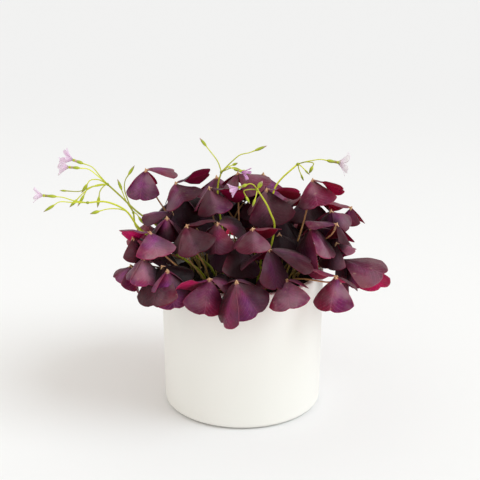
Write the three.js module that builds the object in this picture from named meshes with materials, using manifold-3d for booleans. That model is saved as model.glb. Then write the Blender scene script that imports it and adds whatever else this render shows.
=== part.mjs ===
// A purple shamrock in flower in a plain white cylinder pot.
// Millimetres, +Z up. The origin is the centre of the pot's flat underside, and -Y is the front.

import * as THREE from 'three';
import { mergeVertices } from 'three/addons/utils/BufferGeometryUtils.js';
import Module from 'manifold-3d';

const wasm = await Module();
wasm.setup();

// Driving dimensions: the pot and its soil
const POT_HEIGHT = 124;
const POT_TOP_RADIUS = 70;
const POT_FOOT_RADIUS = 68.2;
const POT_WALL = 4.2;
const POT_FLOOR = 6;
const FOOT_ROUNDING = 3.5;
const RIM_ROUNDING = 1.4;
const POT_SEGMENTS = 40;
const SOIL_TOP = 112;
const SOIL_CROWNING = 4;
const SEAT_GAP = 0.3;

// Driving dimensions: the plant
const CROWN_RADIUS = 48;
const ROOT_SPREAD = 44;
const CROWN_DEPTH = 9;
const BLADE_THICKNESS = 0.7;
const HALF_WIDTH_SHARE = 0.6;
const NECK_LENGTH = 6;
const NECK_RADIUS = 1.1;
const PETIOLE_RADIUS = 0.9;
const STALK_RADIUS = 1.0;
const PEDICEL_RADIUS = 0.6;
const ROOT_DEPTH = 8;
const LEAFLET_ARCH = 14;
const LEAFLET_CUP = 10;
const TWISTED_SHARE = 0.45;
const NECK_BLEND = 0.6;
const AWAY = 0.4;
const CELL = 0.7;
const BLADE_REACH = 1.35;
const STEM_REACH = 1.75;
const SAMPLE_SPACING = 1.3;
const CLOSINGS = [0, -15, 12];
const SIDESTEPS = [0, 4, -4];
const SETTLE_STEP = 2;
const SETTLE_LIMIT = 16;
const CLOSING_COST = 0.25;
const ASIDE_COST = 1.5;
const STRIDE = 41;
const PETIOLE_LIFTS = [0, 12, 26];
const PETIOLE_LEADS = [0.35, 0.15];
const PETIOLE_SWINGS = [0, 0.5, -0.5, 1, -1];
const PETIOLE_BOWS = [0, 12, -12];
const PETIOLE_INSETS = [0, 14, -14];

const degrees = THREE.MathUtils.degToRad;

// Materials
const glaze = new THREE.MeshStandardMaterial({ color: 0xf1efec, roughness: 0.45, metalness: 0 });
const earth = new THREE.MeshStandardMaterial({ color: 0x2b211b, roughness: 0.95, metalness: 0 });
const petioleSkin = new THREE.MeshStandardMaterial({ color: 0xa67a58, roughness: 0.55, metalness: 0 });
const scapeSkin = new THREE.MeshStandardMaterial({ color: 0xb4c04a, roughness: 0.5, metalness: 0 });
const petalSkin = new THREE.MeshStandardMaterial({ color: 0xe9c8e6, roughness: 0.6, metalness: 0 });
const leafSkins = [0x552d4b, 0x69376a, 0x5f3f4c, 0x40202f].map(
  (color) => new THREE.MeshStandardMaterial({ color, roughness: 0.6, metalness: 0 }),
);

const plant = new THREE.Group();

function show(name, geometry, material) {
  const mesh = new THREE.Mesh(geometry, material);
  mesh.name = name;
  plant.add(mesh);
}

// Joining and cutting closed solids

function solidOf(geometry) {
  const bare = new THREE.BufferGeometry();
  bare.setAttribute('position', geometry.getAttribute('position'));
  bare.setIndex(geometry.getIndex());
  const merged = mergeVertices(bare, 1e-4);
  const corners = merged.getIndex().array;
  const kept = [];
  for (let i = 0; i < corners.length; i += 3) {
    const [a, b, c] = corners.slice(i, i + 3);
    if (a !== b && b !== c && c !== a) kept.push(a, b, c);
  }
  return new wasm.Manifold(new wasm.Mesh({
    numProp: 3,
    vertProperties: new Float32Array(merged.getAttribute('position').array),
    triVerts: new Uint32Array(kept),
  }));
}

function geometryOf(solid) {
  const mesh = solid.getMesh();
  const geometry = new THREE.BufferGeometry();
  geometry.setAttribute('position', new THREE.Float32BufferAttribute(mesh.vertProperties, 3));
  geometry.setIndex([...mesh.triVerts]);
  geometry.computeBoundingBox();
  return geometry;
}

function joined(geometries) {
  return geometries.map(solidOf).reduce((whole, piece) => whole.add(piece));
}

// Pot and soil

function lathe(points) {
  return new THREE.LatheGeometry(points.map(([r, z]) => new THREE.Vector2(r, z)), POT_SEGMENTS)
    .rotateX(Math.PI / 2);
}

function potGeometry() {
  const innerTop = POT_TOP_RADIUS - POT_WALL;
  const innerFoot = POT_FOOT_RADIUS - POT_WALL;
  const profile = [[0, 0], [POT_FOOT_RADIUS - FOOT_ROUNDING, 0]];
  for (const turn of [45, 90]) {
    const outwards = Math.sin(degrees(turn));
    const upwards = 1 - Math.cos(degrees(turn));
    profile.push([POT_FOOT_RADIUS - FOOT_ROUNDING * (1 - outwards), FOOT_ROUNDING * upwards]);
  }
  for (const turn of [0, 45, 90]) {
    const inwards = 1 - Math.cos(degrees(turn));
    const below = 1 - Math.sin(degrees(turn));
    profile.push([POT_TOP_RADIUS - RIM_ROUNDING * inwards, POT_HEIGHT - RIM_ROUNDING * below]);
  }
  profile.push([innerTop + RIM_ROUNDING, POT_HEIGHT], [innerTop, POT_HEIGHT - RIM_ROUNDING]);
  profile.push(
    [innerFoot, POT_FLOOR + FOOT_ROUNDING],
    [innerFoot - FOOT_ROUNDING, POT_FLOOR],
    [0, POT_FLOOR],
  );
  return lathe(profile);
}

function soilGeometry(wells) {
  const innerTop = POT_TOP_RADIUS - POT_WALL - SEAT_GAP;
  const innerFoot = POT_FOOT_RADIUS - POT_WALL - SEAT_GAP;
  const rise = (SOIL_TOP - POT_FLOOR) / (POT_HEIGHT - POT_FLOOR);
  const edge = innerFoot + (innerTop - innerFoot) * rise;
  const bed = lathe([
    [0, POT_FLOOR + SEAT_GAP],
    [innerFoot - FOOT_ROUNDING - 1, POT_FLOOR + SEAT_GAP],
    [innerFoot - SEAT_GAP, POT_FLOOR + FOOT_ROUNDING + 1],
    [edge, SOIL_TOP - SOIL_CROWNING],
    [0, SOIL_TOP + SOIL_CROWNING],
  ]);
  return wells.reduce((left, hole) => left.subtract(solidOf(hole)), solidOf(bed));
}

function well(x, y, radius, depth, sides) {
  const height = depth + 3 * SOIL_CROWNING;
  return new THREE.CylinderGeometry(radius, radius, height, sides)
    .rotateX(Math.PI / 2)
    .translate(x, y, SOIL_TOP - depth + height / 2);
}

// The crown is the mat of rhizomes that every petiole grows from. It lies in a shallow well in the soil.
function crownSolid(wells) {
  const foot = SOIL_TOP - CROWN_DEPTH;
  const mat = lathe([
    [0, foot],
    [CROWN_RADIUS, foot],
    [CROWN_RADIUS, SOIL_TOP],
    [0, SOIL_TOP + SOIL_CROWNING],
  ]);
  return wells.reduce((left, hole) => left.subtract(solidOf(hole)), solidOf(mat));
}

// Stems: a tube of even section along a smooth curve

function stem(curve, radius, sides, steps) {
  const section = new THREE.Shape();
  for (let i = 0; i < sides; i += 1) {
    const turn = (2 * Math.PI * i) / sides;
    const corner = [radius * Math.cos(turn), radius * Math.sin(turn)];
    if (i === 0) section.moveTo(...corner);
    else section.lineTo(...corner);
  }
  return new THREE.ExtrudeGeometry(section, { steps, extrudePath: curve });
}

function throughPoints(points) {
  return new THREE.CatmullRomCurve3(points.map((point) => new THREE.Vector3(...point)));
}

// Blades: a thin closed sheet, split into triangles alike on both faces

// A half outline runs from the hub to the tip as [share of the length, share of the half width].
const LEAFLET_OUTLINE = [[0.06, 0.07], [0.45, 0.66], [0.79, 1], [0.98, 0.5]];
const LEAFLET_MIDRIB = [0.5, 0.95];
const PETAL_OUTLINE = [[0.12, 0.1], [0.55, 0.8], [0.9, 0.85]];
const PETAL_MIDRIB = [0.3, 1];

function arc(start, bend, share) {
  if (Math.abs(bend) < 1e-3) return [Math.cos(start) * share, Math.sin(start) * share];
  return [
    (Math.sin(start + bend * share) - Math.sin(start)) / bend,
    (Math.cos(start) - Math.cos(start + bend * share)) / bend,
  ];
}

// A blade leaves its root along +X, dips by droop and arch along its midrib, and by fold and cup across it.
// It twists about the line in which it leaves the root.
function bladePoint(blade, along, across, side) {
  const [out, down] = arc(degrees(blade.droop), degrees(blade.arch), along);
  const slope = degrees(blade.droop + blade.arch * along);
  const [wide, dip] = arc(degrees(blade.fold), degrees(blade.cup), across);
  const start = new THREE.Vector3(Math.cos(degrees(blade.droop)), 0, -Math.sin(degrees(blade.droop)));
  return new THREE.Vector3(
    blade.length * out - blade.halfWidth * dip * Math.sin(slope),
    side * blade.halfWidth * wide,
    -blade.length * down - blade.halfWidth * dip * Math.cos(slope),
  ).applyAxisAngle(start, degrees(blade.roll) * Math.min(1, along / TWISTED_SHARE));
}

// A rosette is blades in order of their turn around a hub, with a tapered neck below it, as one closed sheet.
function rosetteGeometry({ blades, outline, midrib, thickness, neck }) {
  const points = [new THREE.Vector3()];
  const faces = [];
  const rim = [];
  const ring = [];
  const upright = new THREE.Vector3(0, 0, 1);
  for (const blade of blades) {
    const turned = (along, across, side) => {
      return bladePoint(blade, along, across, side).applyAxisAngle(upright, degrees(blade.turn));
    };
    const ribs = midrib.map((along) => points.push(turned(along, 0, 1)) - 1);
    const [left, right] = [1, -1].map((side) => {
      const edges = outline.map(([along, across]) => points.push(turned(along, across, side)) - 1);
      let rib = 0;
      let edge = 0;
      while (rib < ribs.length - 1 || edge < edges.length - 1) {
        const nextRib = rib < ribs.length - 1 ? midrib[rib + 1] : Infinity;
        const nextEdge = edge < edges.length - 1 ? outline[edge + 1][0] : Infinity;
        const face = [ribs[rib], edges[edge]];
        if (nextEdge <= nextRib) edge += 1;
        else rib += 1;
        face.push(nextEdge <= nextRib ? edges[edge] : ribs[rib]);
        // The left half's faces wind the other way round, so both halves face up.
        faces.push(side > 0 ? face.reverse() : face);
      }
      return edges;
    });
    faces.push([right[0], ribs[0], left[0]]);
    rim.push([...right, ribs.at(-1), ...[...left].reverse()]);
    ring.push(right[0], left[0]);
  }
  const hub = ring.map((from, i) => [0, from, ring[(i + 1) % ring.length]]);
  const normals = points.map(() => new THREE.Vector3());
  for (const [a, b, c] of [...faces, ...hub]) {
    const along = new THREE.Vector3().subVectors(points[b], points[a]);
    const across = new THREE.Vector3().subVectors(points[c], points[a]);
    [a, b, c].forEach((i) => normals[i].add(along.clone().cross(across)));
  }
  const positions = [];
  for (const way of [0.5, -0.5]) {
    points.forEach((point, i) => {
      const shift = normals[i].clone().normalize().multiplyScalar(way * thickness);
      positions.push(...point.clone().add(shift).toArray());
    });
  }
  const under = points.length;
  const foot = 2 * under;
  const along = new THREE.Quaternion().setFromUnitVectors(new THREE.Vector3(0, 0, -1), neck.direction);
  ring.forEach((i) => {
    const spoke = new THREE.Vector3(points[i].x, points[i].y, 0).setLength(neck.radius);
    spoke.z = -neck.length;
    positions.push(...spoke.applyQuaternion(along).toArray());
  });
  const index = hub.flat();
  faces.forEach(([a, b, c]) => index.push(a, b, c, a + under, c + under, b + under));
  const loop = rim.flat();
  loop.forEach((from, i) => {
    const to = loop[(i + 1) % loop.length];
    index.push(from, from + under, to, to, from + under, to + under);
  });
  ring.forEach((from, i) => {
    const next = (i + 1) % ring.length;
    index.push(from + under, foot + i, ring[next] + under, ring[next] + under, foot + i, foot + next);
    if (i > 1) index.push(foot, foot + i, foot + i - 1);
  });
  const geometry = new THREE.BufferGeometry();
  geometry.setAttribute('position', new THREE.Float32BufferAttribute(positions, 3));
  geometry.setIndex(index);
  return geometry;
}

// Leaves: three leaflets that hang from a hub, whose neck points towards the crown

function rootUnder(at, turn) {
  const spread = Math.min(ROOT_SPREAD, Math.hypot(at[0], at[1]) * 0.6);
  const towards = Math.atan2(at[1], at[0]) + turn;
  return new THREE.Vector3(spread * Math.cos(towards), spread * Math.sin(towards), SOIL_TOP - 2);
}

function neckDirection(at) {
  const towardsRoot = rootUnder(at, 0).sub(new THREE.Vector3(...at)).normalize();
  return towardsRoot.multiplyScalar(NECK_BLEND).add(new THREE.Vector3(0, 0, NECK_BLEND - 1)).normalize();
}

function leafGeometry(leaf, thickness) {
  const blades = leaf.leaflets.map(([turn, droop, roll, fold, length]) => ({
    turn: (turn + 360) % 360,
    length,
    halfWidth: length * HALF_WIDTH_SHARE,
    droop,
    roll,
    arch: LEAFLET_ARCH,
    fold,
    cup: LEAFLET_CUP,
  })).sort((a, b) => a.turn - b.turn);
  return rosetteGeometry({
    blades,
    outline: LEAFLET_OUTLINE,
    midrib: LEAFLET_MIDRIB,
    thickness,
    neck: { direction: neckDirection(leaf.at), length: NECK_LENGTH, radius: NECK_RADIUS },
  }).translate(...leaf.at);
}

// Each leaf: its hub and three leaflets, each with the way it points (0 right, 90 back, 270 front)
// then how far below level it starts, its twist and its fold in degrees, and its length.
const FRONT_ROW = [
  { at: [-27, -70, 139], leaflets: [[260, 52, -26, 12, 31], [20, 12, 20, 15, 28], [180, 16, 48, 8, 29]] },
  { at: [-1, -74, 139], leaflets: [[331, 46, 30, 8, 33], [80, 10, 0, 20, 28], [199, 64, 0, 4, 39]] },
  { at: [36, -70, 138], leaflets: [[272, 30, 20, 4, 29], [65, 28, 0, 18, 24], [150, 14, 0, 18, 26]] },
  { at: [77, -60, 137], leaflets: [[250, 46, 4, 12, 31], [50, 36, 0, 20, 24], [150, 2, 34, 12, 31]] },
  { at: [84, -30, 141], leaflets: [[336, 6, 10, 6, 41], [80, 20, 0, 20, 28], [298, 54, -40, 12, 31]] },
  { at: [-66, -60, 146], leaflets: [[248, 44, 16, 4, 36], [12, 6, 10, 20, 28], [130, 25, 0, 20, 28]] },
  { at: [-57, -66, 145], leaflets: [[292, 60, 20, 28, 33], [60, 30, 0, 20, 24], [160, 42, 0, 20, 22]] },
  { at: [-93, -40, 139], leaflets: [[205, 25, -18, 20, 18], [298, 45, -40, 20, 24], [80, 35, 0, 20, 22]] },
];
const FACE_LEAVES = [
  { at: [-63, -8, 175], leaflets: [[174, 2, -4, 12, 27], [300, 55, 0, 20, 26], [60, 40, 0, 20, 25]] },
  { at: [21, -60, 161], leaflets: [[304, 56, -24, 0, 34], [8, 14, 4, 4, 40], [140, 25, 0, 18, 30]] },
  { at: [-6, -52, 163], leaflets: [[296, 40, -14, 4, 33], [50, 30, 0, 20, 29], [182, 28, -30, 16, 28]] },
  { at: [57, -42, 174], leaflets: [[325, 40, -18, 2, 32], [75, 12, -15, 18, 26], [192, 62, -12, 16, 40]] },
  { at: [8, -42, 172], leaflets: [[272, 30, 6, 8, 24], [25, 2, -34, 14, 24], [150, 35, 0, 20, 23]] },
  { at: [-46, -45, 176], leaflets: [[300, 33, 24, 6, 28], [48, -4, -28, 12, 26], [178, 48, 0, 20, 26]] },
  { at: [-72, -42, 169], leaflets: [[287, 23, 10, 2, 28], [48, 34, 0, 20, 26], [165, -4, 38, 12, 26]] },
  { at: [-77, -45, 148], leaflets: [[288, 42, 0, 18, 25], [40, 28, 0, 20, 23], [170, 38, 0, 20, 23]] },
  { at: [35, -32, 164], leaflets: [[325, 26, 10, 14, 25], [80, 28, 0, 20, 24], [210, 34, -16, 16, 25]] },
  { at: [74, -30, 172], leaflets: [[176, -12, 10, 10, 27], [328, 40, -20, 18, 20], [64, 40, 0, 20, 24]] },
  { at: [79, -30, 155], leaflets: [[345, 6, 0, 16, 18], [235, 45, 0, 20, 24], [105, 38, 0, 20, 23]] },
  { at: [-21, -28, 172], leaflets: [[28, 8, 24, 8, 27], [128, 30, 0, 20, 25], [262, 50, 10, 14, 27]] },
  { at: [20, -25, 201], leaflets: [[283, 49, 22, 6, 33], [354, -4, -34, 4, 29], [150, 42, 0, 22, 27]] },
  { at: [-91, -25, 158], leaflets: [[300, 50, -20, 12, 22], [56, 16, 0, 8, 22], [172, 56, 0, 20, 17]] },
  { at: [-59, -25, 176], leaflets: [[270, 56, 0, 32, 21], [30, 36, 0, 24, 20], [150, 36, 0, 24, 20]] },
  { at: [75, -18, 180], leaflets: [[342, 30, 22, 14, 22], [90, 26, 0, 18, 24], [225, 50, 0, 18, 24]] },
  { at: [-28, -12, 198], leaflets: [[286, 32, 16, 18, 27], [358, 0, -34, 10, 32], [150, 48, 0, 20, 24]] },
  { at: [-48, -5, 189], leaflets: [[296, 62, -10, 8, 28], [42, 2, 24, 22, 26], [170, 44, 0, 20, 27]] },
  { at: [59, -5, 203], leaflets: [[276, 28, 18, 12, 29], [345, 6, -34, 4, 29], [150, 52, 0, 20, 22]] },
  { at: [94, 5, 175], leaflets: [[152, -14, 30, 14, 29], [250, 48, 0, 20, 17], [55, 42, 0, 20, 20]] },
  { at: [-4, 12, 204], leaflets: [[328, 8, 16, 12, 30], [90, 28, 0, 18, 28], [207, 42, 0, 20, 28]] },
  { at: [-53, 18, 192], leaflets: [[284, 10, 30, 12, 30], [22, -18, -40, 0, 32], [150, 56, 0, 18, 20]] },
  { at: [-83, 20, 204], leaflets: [[248, 50, 7, 6, 28], [22, 2, 2, 4, 28], [120, 46, 0, 14, 25]] },
  { at: [96, -8, 131], leaflets: [[10, 42, -40, 4, 36], [104, 30, 0, 20, 22], [250, 50, -14, 16, 24]] },
];

// Smaller leaves fill the canopy's inside
const INNER_LEAVES = [
  { at: [34, 12, 164], leaflets: [[262, 44, 0, 16, 26], [22, 34, 0, 20, 25], [142, 36, 0, 20, 25]] },
  { at: [74, 2, 159], leaflets: [[268, 42, 8, 16, 27], [28, 34, 0, 20, 25], [148, 36, 0, 20, 25]] },
  { at: [58, 14, 178], leaflets: [[280, 44, 0, 16, 27], [40, 38, 0, 20, 26], [160, 36, 0, 20, 26]] },
  { at: [-84, 8, 160], leaflets: [[240, 40, 0, 16, 26], [0, 34, 0, 20, 25], [120, 36, 0, 20, 25]] },
  { at: [8, 8, 188], leaflets: [[275, 44, 0, 16, 27], [35, 34, 0, 20, 26], [155, 36, 0, 20, 26]] },
  { at: [-62, 22, 176], leaflets: [[262, 44, 0, 16, 27], [22, 34, 0, 20, 26], [142, 36, 0, 20, 26]] },
  { at: [-2, 30, 174], leaflets: [[265, 44, 0, 16, 27], [25, 34, 0, 20, 26], [145, 36, 0, 20, 26]] },
  { at: [-34, 22, 172], leaflets: [[262, 44, 0, 16, 27], [22, 34, 0, 20, 26], [142, 36, 0, 20, 26]] },
  { at: [-10, 15, 160], leaflets: [[266, 44, 0, 16, 27], [26, 34, 0, 20, 25], [146, 36, 0, 20, 25]] },
];
// The far side's leaves stand in tiers, as [number, first turn, last turn, distance from the axis, height,
// droop of the leaflets that point inwards].
const BACK_TIERS = [
  [5, 26, 160, 80, 138, 10],
  [4, 40, 142, 68, 154, 24],
  [4, 30, 150, 50, 172, 32],
  [2, 60, 120, 28, 190, 34],
];
const BACK_LENGTH = 31;
const BACK_VARIETY = [8, 10, 14, 6, 3];
const SIGHT_LINE = new THREE.Vector3(0, 0.94, -0.34);

function seededRandom(seed) {
  let state = seed;
  return () => {
    state = (state * 1664525 + 1013904223) % 4294967296;
    return state / 4294967296;
  };
}

function backLeaves() {
  const random = seededRandom(7);
  const around = (middle, spread) => middle + spread * (2 * random() - 1);
  return BACK_TIERS.flatMap(([count, first, last, distance, height, inward]) => {
    return Array.from({ length: count }, (_, i) => {
      const turn = first + ((last - first) * i) / (count - 1) + around(0, 5);
      const reach = around(distance, 5);
      return {
        at: [reach * Math.cos(degrees(turn)), reach * Math.sin(degrees(turn)), around(height, 5)],
        leaflets: [0, 120, 240].map((step) => {
          return [turn + step, step ? inward : 44, step ? 0 : 8, step ? 20 : 14, BACK_LENGTH]
            .map((value, j) => around(value, BACK_VARIETY[j]));
        }),
        push: new THREE.Vector3(Math.cos(degrees(turn)), Math.sin(degrees(turn)), 0.3).normalize(),
      };
    });
  });
}

// Flower scapes: a stalk that carries an umbel of pedicels, each with a bud or a calyx at its end
const SCAPES = [
  {
    stalk: [[-24, -4, 104], [-25, -4, 119], [-49, -5, 144], [-64, -4, 156], [-77, -2, 164], [-90, 0, 173],
      [-104, 3, 186], [-115, 5, 196]],
    pedicels: [
      { path: [[-115, 5, 196], [-121, 3, 204], [-127, 2, 212], [-135, 0, 216]], head: [7, 1.5] },
      { path: [[-115, 5, 196], [-124, 8, 203], [-131, 9, 208], [-139, 9, 209]], head: [7, 1.4] },
      { path: [[-115, 5, 196], [-123, 3, 196], [-131, 0, 193], [-136, -1, 189],
        [-141, -2, 184]], head: [9, 1.4] },
      { path: [[-115, 5, 196], [-123, 8, 199], [-130, 9, 198], [-133, 9, 194]], head: [9, 1.5] },
      { path: [[-115, 5, 196], [-122, 0, 196], [-130, -6, 196], [-134, -8, 190]], head: [11, 1.3] },
      { path: [[-115, 5, 196], [-118, 2, 195], [-121, 0, 191], [-122, 0, 186]], head: [10, 1.4] },
      { path: [[-115, 5, 196], [-129, 14, 191], [-140, 16, 186], [-152, 17, 186]], head: [6, 0.9] },
    ],
  },
  {
    stalk: [[-32, -13, 104], [-33, -13, 119], [-62, -14, 144], [-77, -16, 155], [-88, -17, 165],
      [-98, -18, 180],
      [-114, -19, 188], [-130, -18, 187]],
    pedicels: [
      { path: [[-130, -18, 187], [-142, -18, 189], [-150, -19, 192], [-156, -20, 193]], head: [9, 1.4] },
      { path: [[-130, -18, 187], [-144, -14, 186], [-154, -13, 186], [-159, -13, 183]], head: [11, 1.3] },
      { path: [[-98, -18, 180], [-105, -22, 183], [-113, -26, 184], [-120, -26, 182]], head: [8, 1.5] },
    ],
  },
  {
    stalk: [[-26, 7, 104], [-27, 7, 119], [-71, 7, 144], [-86, 9, 151], [-92, 10, 156], [-94, 10, 169]],
    pedicels: [
      { path: [[-94, 10, 169], [-98, 10, 179], [-101, 10, 190], [-100, 10, 198],
        [-97, 10, 203]], head: [10, 1.3] },
      { path: [[-94, 10, 169], [-100, 13, 178], [-104, 15, 188]], head: [10, 1.3] },
      { path: [[-94, 10, 169], [-91, 8, 168], [-89, 8, 165]], head: [8, 1.3] },
    ],
  },
  {
    stalk: [[-12, 8, 104], [-12, 8, 119], [-14, 5, 138], [-18, 4, 160], [-21, 6, 181],
      [-21, 8, 194], [-18, 8, 206]],
    pedicels: [
      { path: [[-18, 8, 206], [-21, 8, 215], [-28, 8, 225], [-31, 8, 229]], head: [9, 1.3] },
      { path: [[-18, 8, 206], [-7, 8, 217], [-2, 8, 221], [6, 8, 223], [11, 8, 225]], head: [11, 1.3] },
      { path: [[-18, 8, 206], [-12, 3, 212], [-8, 2, 214]], head: [5, 1.2] },
      { path: [[-18, 8, 206], [-12, 2, 212], [-7, 0, 211]], head: [5, 1.3] },
      { path: [[-18, 8, 206], [-7, 14, 208], [0, 14, 205]], head: [8, 1.9] },
    ],
  },
  {
    stalk: [[13, -22, 104], [13, -22, 119], [17, -29, 133], [21, -34, 146], [25, -40, 163],
      [26, -43, 178], [23, -43, 186],
      [20, -42, 193], [12, -38, 205]],
    pedicels: [
      { path: [[12, -38, 205], [9, -38, 209], [6, -38, 210], [3, -38, 209]], head: [5, 1.4] },
      { path: [[12, -38, 205], [12, -40, 206], [13, -41, 208]], head: [8, 1.9] },
      { path: [[12, -38, 205], [5, -44, 207], [1, -45, 206], [3, -45, 201]], head: [7, 1.1] },
      { path: [[12, -38, 205], [11, -42, 201], [10, -43, 198]], head: [7, 1.1] },
    ],
  },
  {
    stalk: [[15, 4, 104], [15, 4, 119], [17, 2, 134], [20, 2, 160], [24, 4, 178], [28, 6, 193],
      [33, 7, 200], [47, 8, 213]],
    pedicels: [
      { path: [[47, 8, 213], [54, 8, 215], [59, 8, 216], [66, 8, 217], [72, 8, 216]], head: [8, 1.5] },
      { path: [[47, 8, 213], [54, 4, 216], [60, 3, 215], [59, 3, 212]], head: [7, 1.5] },
      { path: [[47, 8, 213], [50, 4, 212], [53, 3, 209]], head: [6, 0.8] },
      { path: [[47, 8, 213], [48, 8, 208], [50, 8, 203]], head: [6, 0.9] },
    ],
  },
];

// Blooms: the scape and pedicel each sits on, its petals' length, how wide the funnel opens and how it faces
const BLOOMS = [
  { scape: 0, pedicel: 0, length: 13, open: 40 },
  { scape: 0, pedicel: 1, length: 13, open: 40 },
  { scape: 1, pedicel: 0, length: 11, open: 38 },
  { scape: 3, pedicel: 3, length: 10, open: 35 },
  { scape: 4, pedicel: 0, length: 11, open: 35 },
  { scape: 5, pedicel: 0, length: 14, open: 50 },
];

function headAxis(path) {
  const [before, end] = path.slice(-2).map((point) => new THREE.Vector3(...point));
  return { end, axis: end.clone().sub(before).normalize() };
}

function headGeometry({ path, head: [length, radius] }) {
  const { end, axis } = headAxis(path);
  const towards = new THREE.Quaternion().setFromUnitVectors(new THREE.Vector3(0, 1, 0), axis);
  return new THREE.SphereGeometry(1, 4, 3)
    .scale(radius, length / 2, radius)
    .translate(0, length / 2 - radius * 0.6, 0)
    .applyQuaternion(towards)
    .translate(...end.toArray());
}

function scapeSolid({ stalk, pedicels }) {
  const pieces = [stem(throughPoints(stalk), STALK_RADIUS, 4, 9)];
  for (const pedicel of pedicels) {
    pieces.push(stem(throughPoints(pedicel.path), PEDICEL_RADIUS, 3, 4), headGeometry(pedicel));
  }
  return joined(pieces);
}

function bloomSolid({ scape, pedicel, length, open }) {
  const { path, head: [calyx, radius] } = SCAPES[scape].pedicels[pedicel];
  const { end, axis } = headAxis(path);
  const foot = calyx - radius * 0.6 + SEAT_GAP;
  const blades = [0, 72, 144, 216, 288].map((turn) => ({
    turn,
    length,
    halfWidth: length * Math.max(0.1, 0.42 * Math.cos(degrees(open - 105))),
    droop: open - 105,
    roll: 0,
    arch: 30,
    fold: -8,
    cup: 0,
  }));
  const neck = { direction: new THREE.Vector3(0, 0, -1), length: 1, radius: 1 };
  const petals = rosetteGeometry({
    blades, outline: PETAL_OUTLINE, midrib: PETAL_MIDRIB, thickness: BLADE_THICKNESS, neck,
  });
  const towards = new THREE.Quaternion().setFromUnitVectors(new THREE.Vector3(0, 0, 1), axis);
  const seat = end.addScaledVector(axis, foot + neck.length);
  return solidOf(petals.applyQuaternion(towards).translate(...seat.toArray()));
}

// Room: a grid of small cells tells whose surface, if any, lies within reach of a place

const ROOM_LOW = [-170, -125, 96];
const ROOM_SIZE = [300, 250, 154];
const ROOM_CELLS = ROOM_SIZE.map((size) => Math.ceil(size / CELL));

class Room {
  constructor(reach) {
    this.cells = new Uint8Array(ROOM_CELLS[0] * ROOM_CELLS[1] * ROOM_CELLS[2]);
    this.ball = [];
    const most = Math.ceil(reach / CELL);
    for (let i = -most; i <= most; i += 1) {
      for (let j = -most; j <= most; j += 1) {
        for (let k = -most; k <= most; k += 1) {
          if (Math.hypot(i, j, k) * CELL <= reach) this.ball.push([i, j, k]);
        }
      }
    }
  }

  static cell(i, j, k) {
    const inside = i >= 0 && j >= 0 && k >= 0 && i < ROOM_CELLS[0] && j < ROOM_CELLS[1] && k < ROOM_CELLS[2];
    return inside ? (i * ROOM_CELLS[1] + j) * ROOM_CELLS[2] + k : -1;
  }

  add(points, owner) {
    for (const [x, y, z] of points) {
      const i = Math.floor((x - ROOM_LOW[0]) / CELL);
      const j = Math.floor((y - ROOM_LOW[1]) / CELL);
      const k = Math.floor((z - ROOM_LOW[2]) / CELL);
      for (const step of this.ball) {
        const cell = Room.cell(i + step[0], j + step[1], k + step[2]);
        if (cell >= 0) this.cells[cell] = owner;
      }
    }
  }

  ownerAt(x, y, z) {
    const cell = Room.cell(
      Math.floor((x - ROOM_LOW[0]) / CELL),
      Math.floor((y - ROOM_LOW[1]) / CELL),
      Math.floor((z - ROOM_LOW[2]) / CELL),
    );
    return cell < 0 ? 0 : this.cells[cell];
  }
}

function surfacePoints(geometry) {
  const flat = geometry.getIndex() ? geometry.toNonIndexed() : geometry;
  const position = flat.getAttribute('position');
  const points = [];
  for (let i = 0; i < position.count; i += 3) {
    const [a, b, c] = [0, 1, 2].map((j) => new THREE.Vector3().fromBufferAttribute(position, i + j));
    const longest = Math.max(a.distanceTo(b), b.distanceTo(c), c.distanceTo(a));
    const steps = Math.ceil(longest / SAMPLE_SPACING);
    for (let j = 0; j <= steps; j += 1) {
      for (let k = 0; k <= steps - j; k += 1) {
        const [u, v] = [j / steps, k / steps];
        points.push(['x', 'y', 'z'].map((axis) => a[axis] * (1 - u - v) + b[axis] * u + c[axis] * v));
      }
    }
  }
  return points;
}

// Far-apart points come first, so that a clash is found early.
function scattered(points) {
  const starts = Array.from({ length: STRIDE }, (_, first) => first);
  return starts.flatMap((first) => points.filter((_, i) => i % STRIDE === first));
}

// Petioles: each rises from the crown and bends clear of what stands between it and its own hub

function petioleCurves(at) {
  const neck = neckDirection(at);
  const end = new THREE.Vector3(...at).addScaledVector(neck, NECK_LENGTH + SEAT_GAP);
  const turn = Math.atan2(end.y, end.x);
  const across = new THREE.Vector3(-Math.sin(turn), Math.cos(turn), 0);
  const out = new THREE.Vector3(Math.cos(turn), Math.sin(turn), 0);
  const curves = [];
  for (const lift of PETIOLE_LIFTS) {
    for (const lead of PETIOLE_LEADS) {
      for (const swing of PETIOLE_SWINGS) {
        const root = rootUnder(at, swing);
        for (const bow of PETIOLE_BOWS) {
          for (const inset of PETIOLE_INSETS) {
            const low = root.clone().add(new THREE.Vector3(0, 0, (end.z - root.z) * 0.5 + lift))
              .addScaledVector(across, bow).addScaledVector(out, inset);
            const high = end.clone().addScaledVector(neck, root.distanceTo(end) * lead);
            curves.push(new THREE.CubicBezierCurve3(root, low, high, end));
          }
        }
      }
    }
  }
  return curves;
}

const nodes = [];
const hosts = [];
let stalks = null;
const bladeRoom = new Room(BLADE_REACH);
const stemRoom = new Room(STEM_REACH);
const NOBODY = 0;
const STEMS = 1;
const FIRST_LEAF = 30;

function clearPetiole(at, points, shift) {
  return petioleCurves(at).find((curve) => {
    const spots = curve.getPoints(60);
    if (!spots.every(({ x, y, z }) => stemRoom.ownerAt(x, y, z) === NOBODY)) return false;
    const end = spots.at(-1);
    return spots.every((spot) => spot.distanceTo(end) < 2.5 || points.every((point, i) => {
      if (i % 4 > 0) return true;
      const apart = Math.abs(point[0] + shift[0] - spot.x) + Math.abs(point[1] + shift[1] - spot.y)
        + Math.abs(point[2] + shift[2] - spot.z);
      return apart > 2.6;
    }));
  });
}

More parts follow.
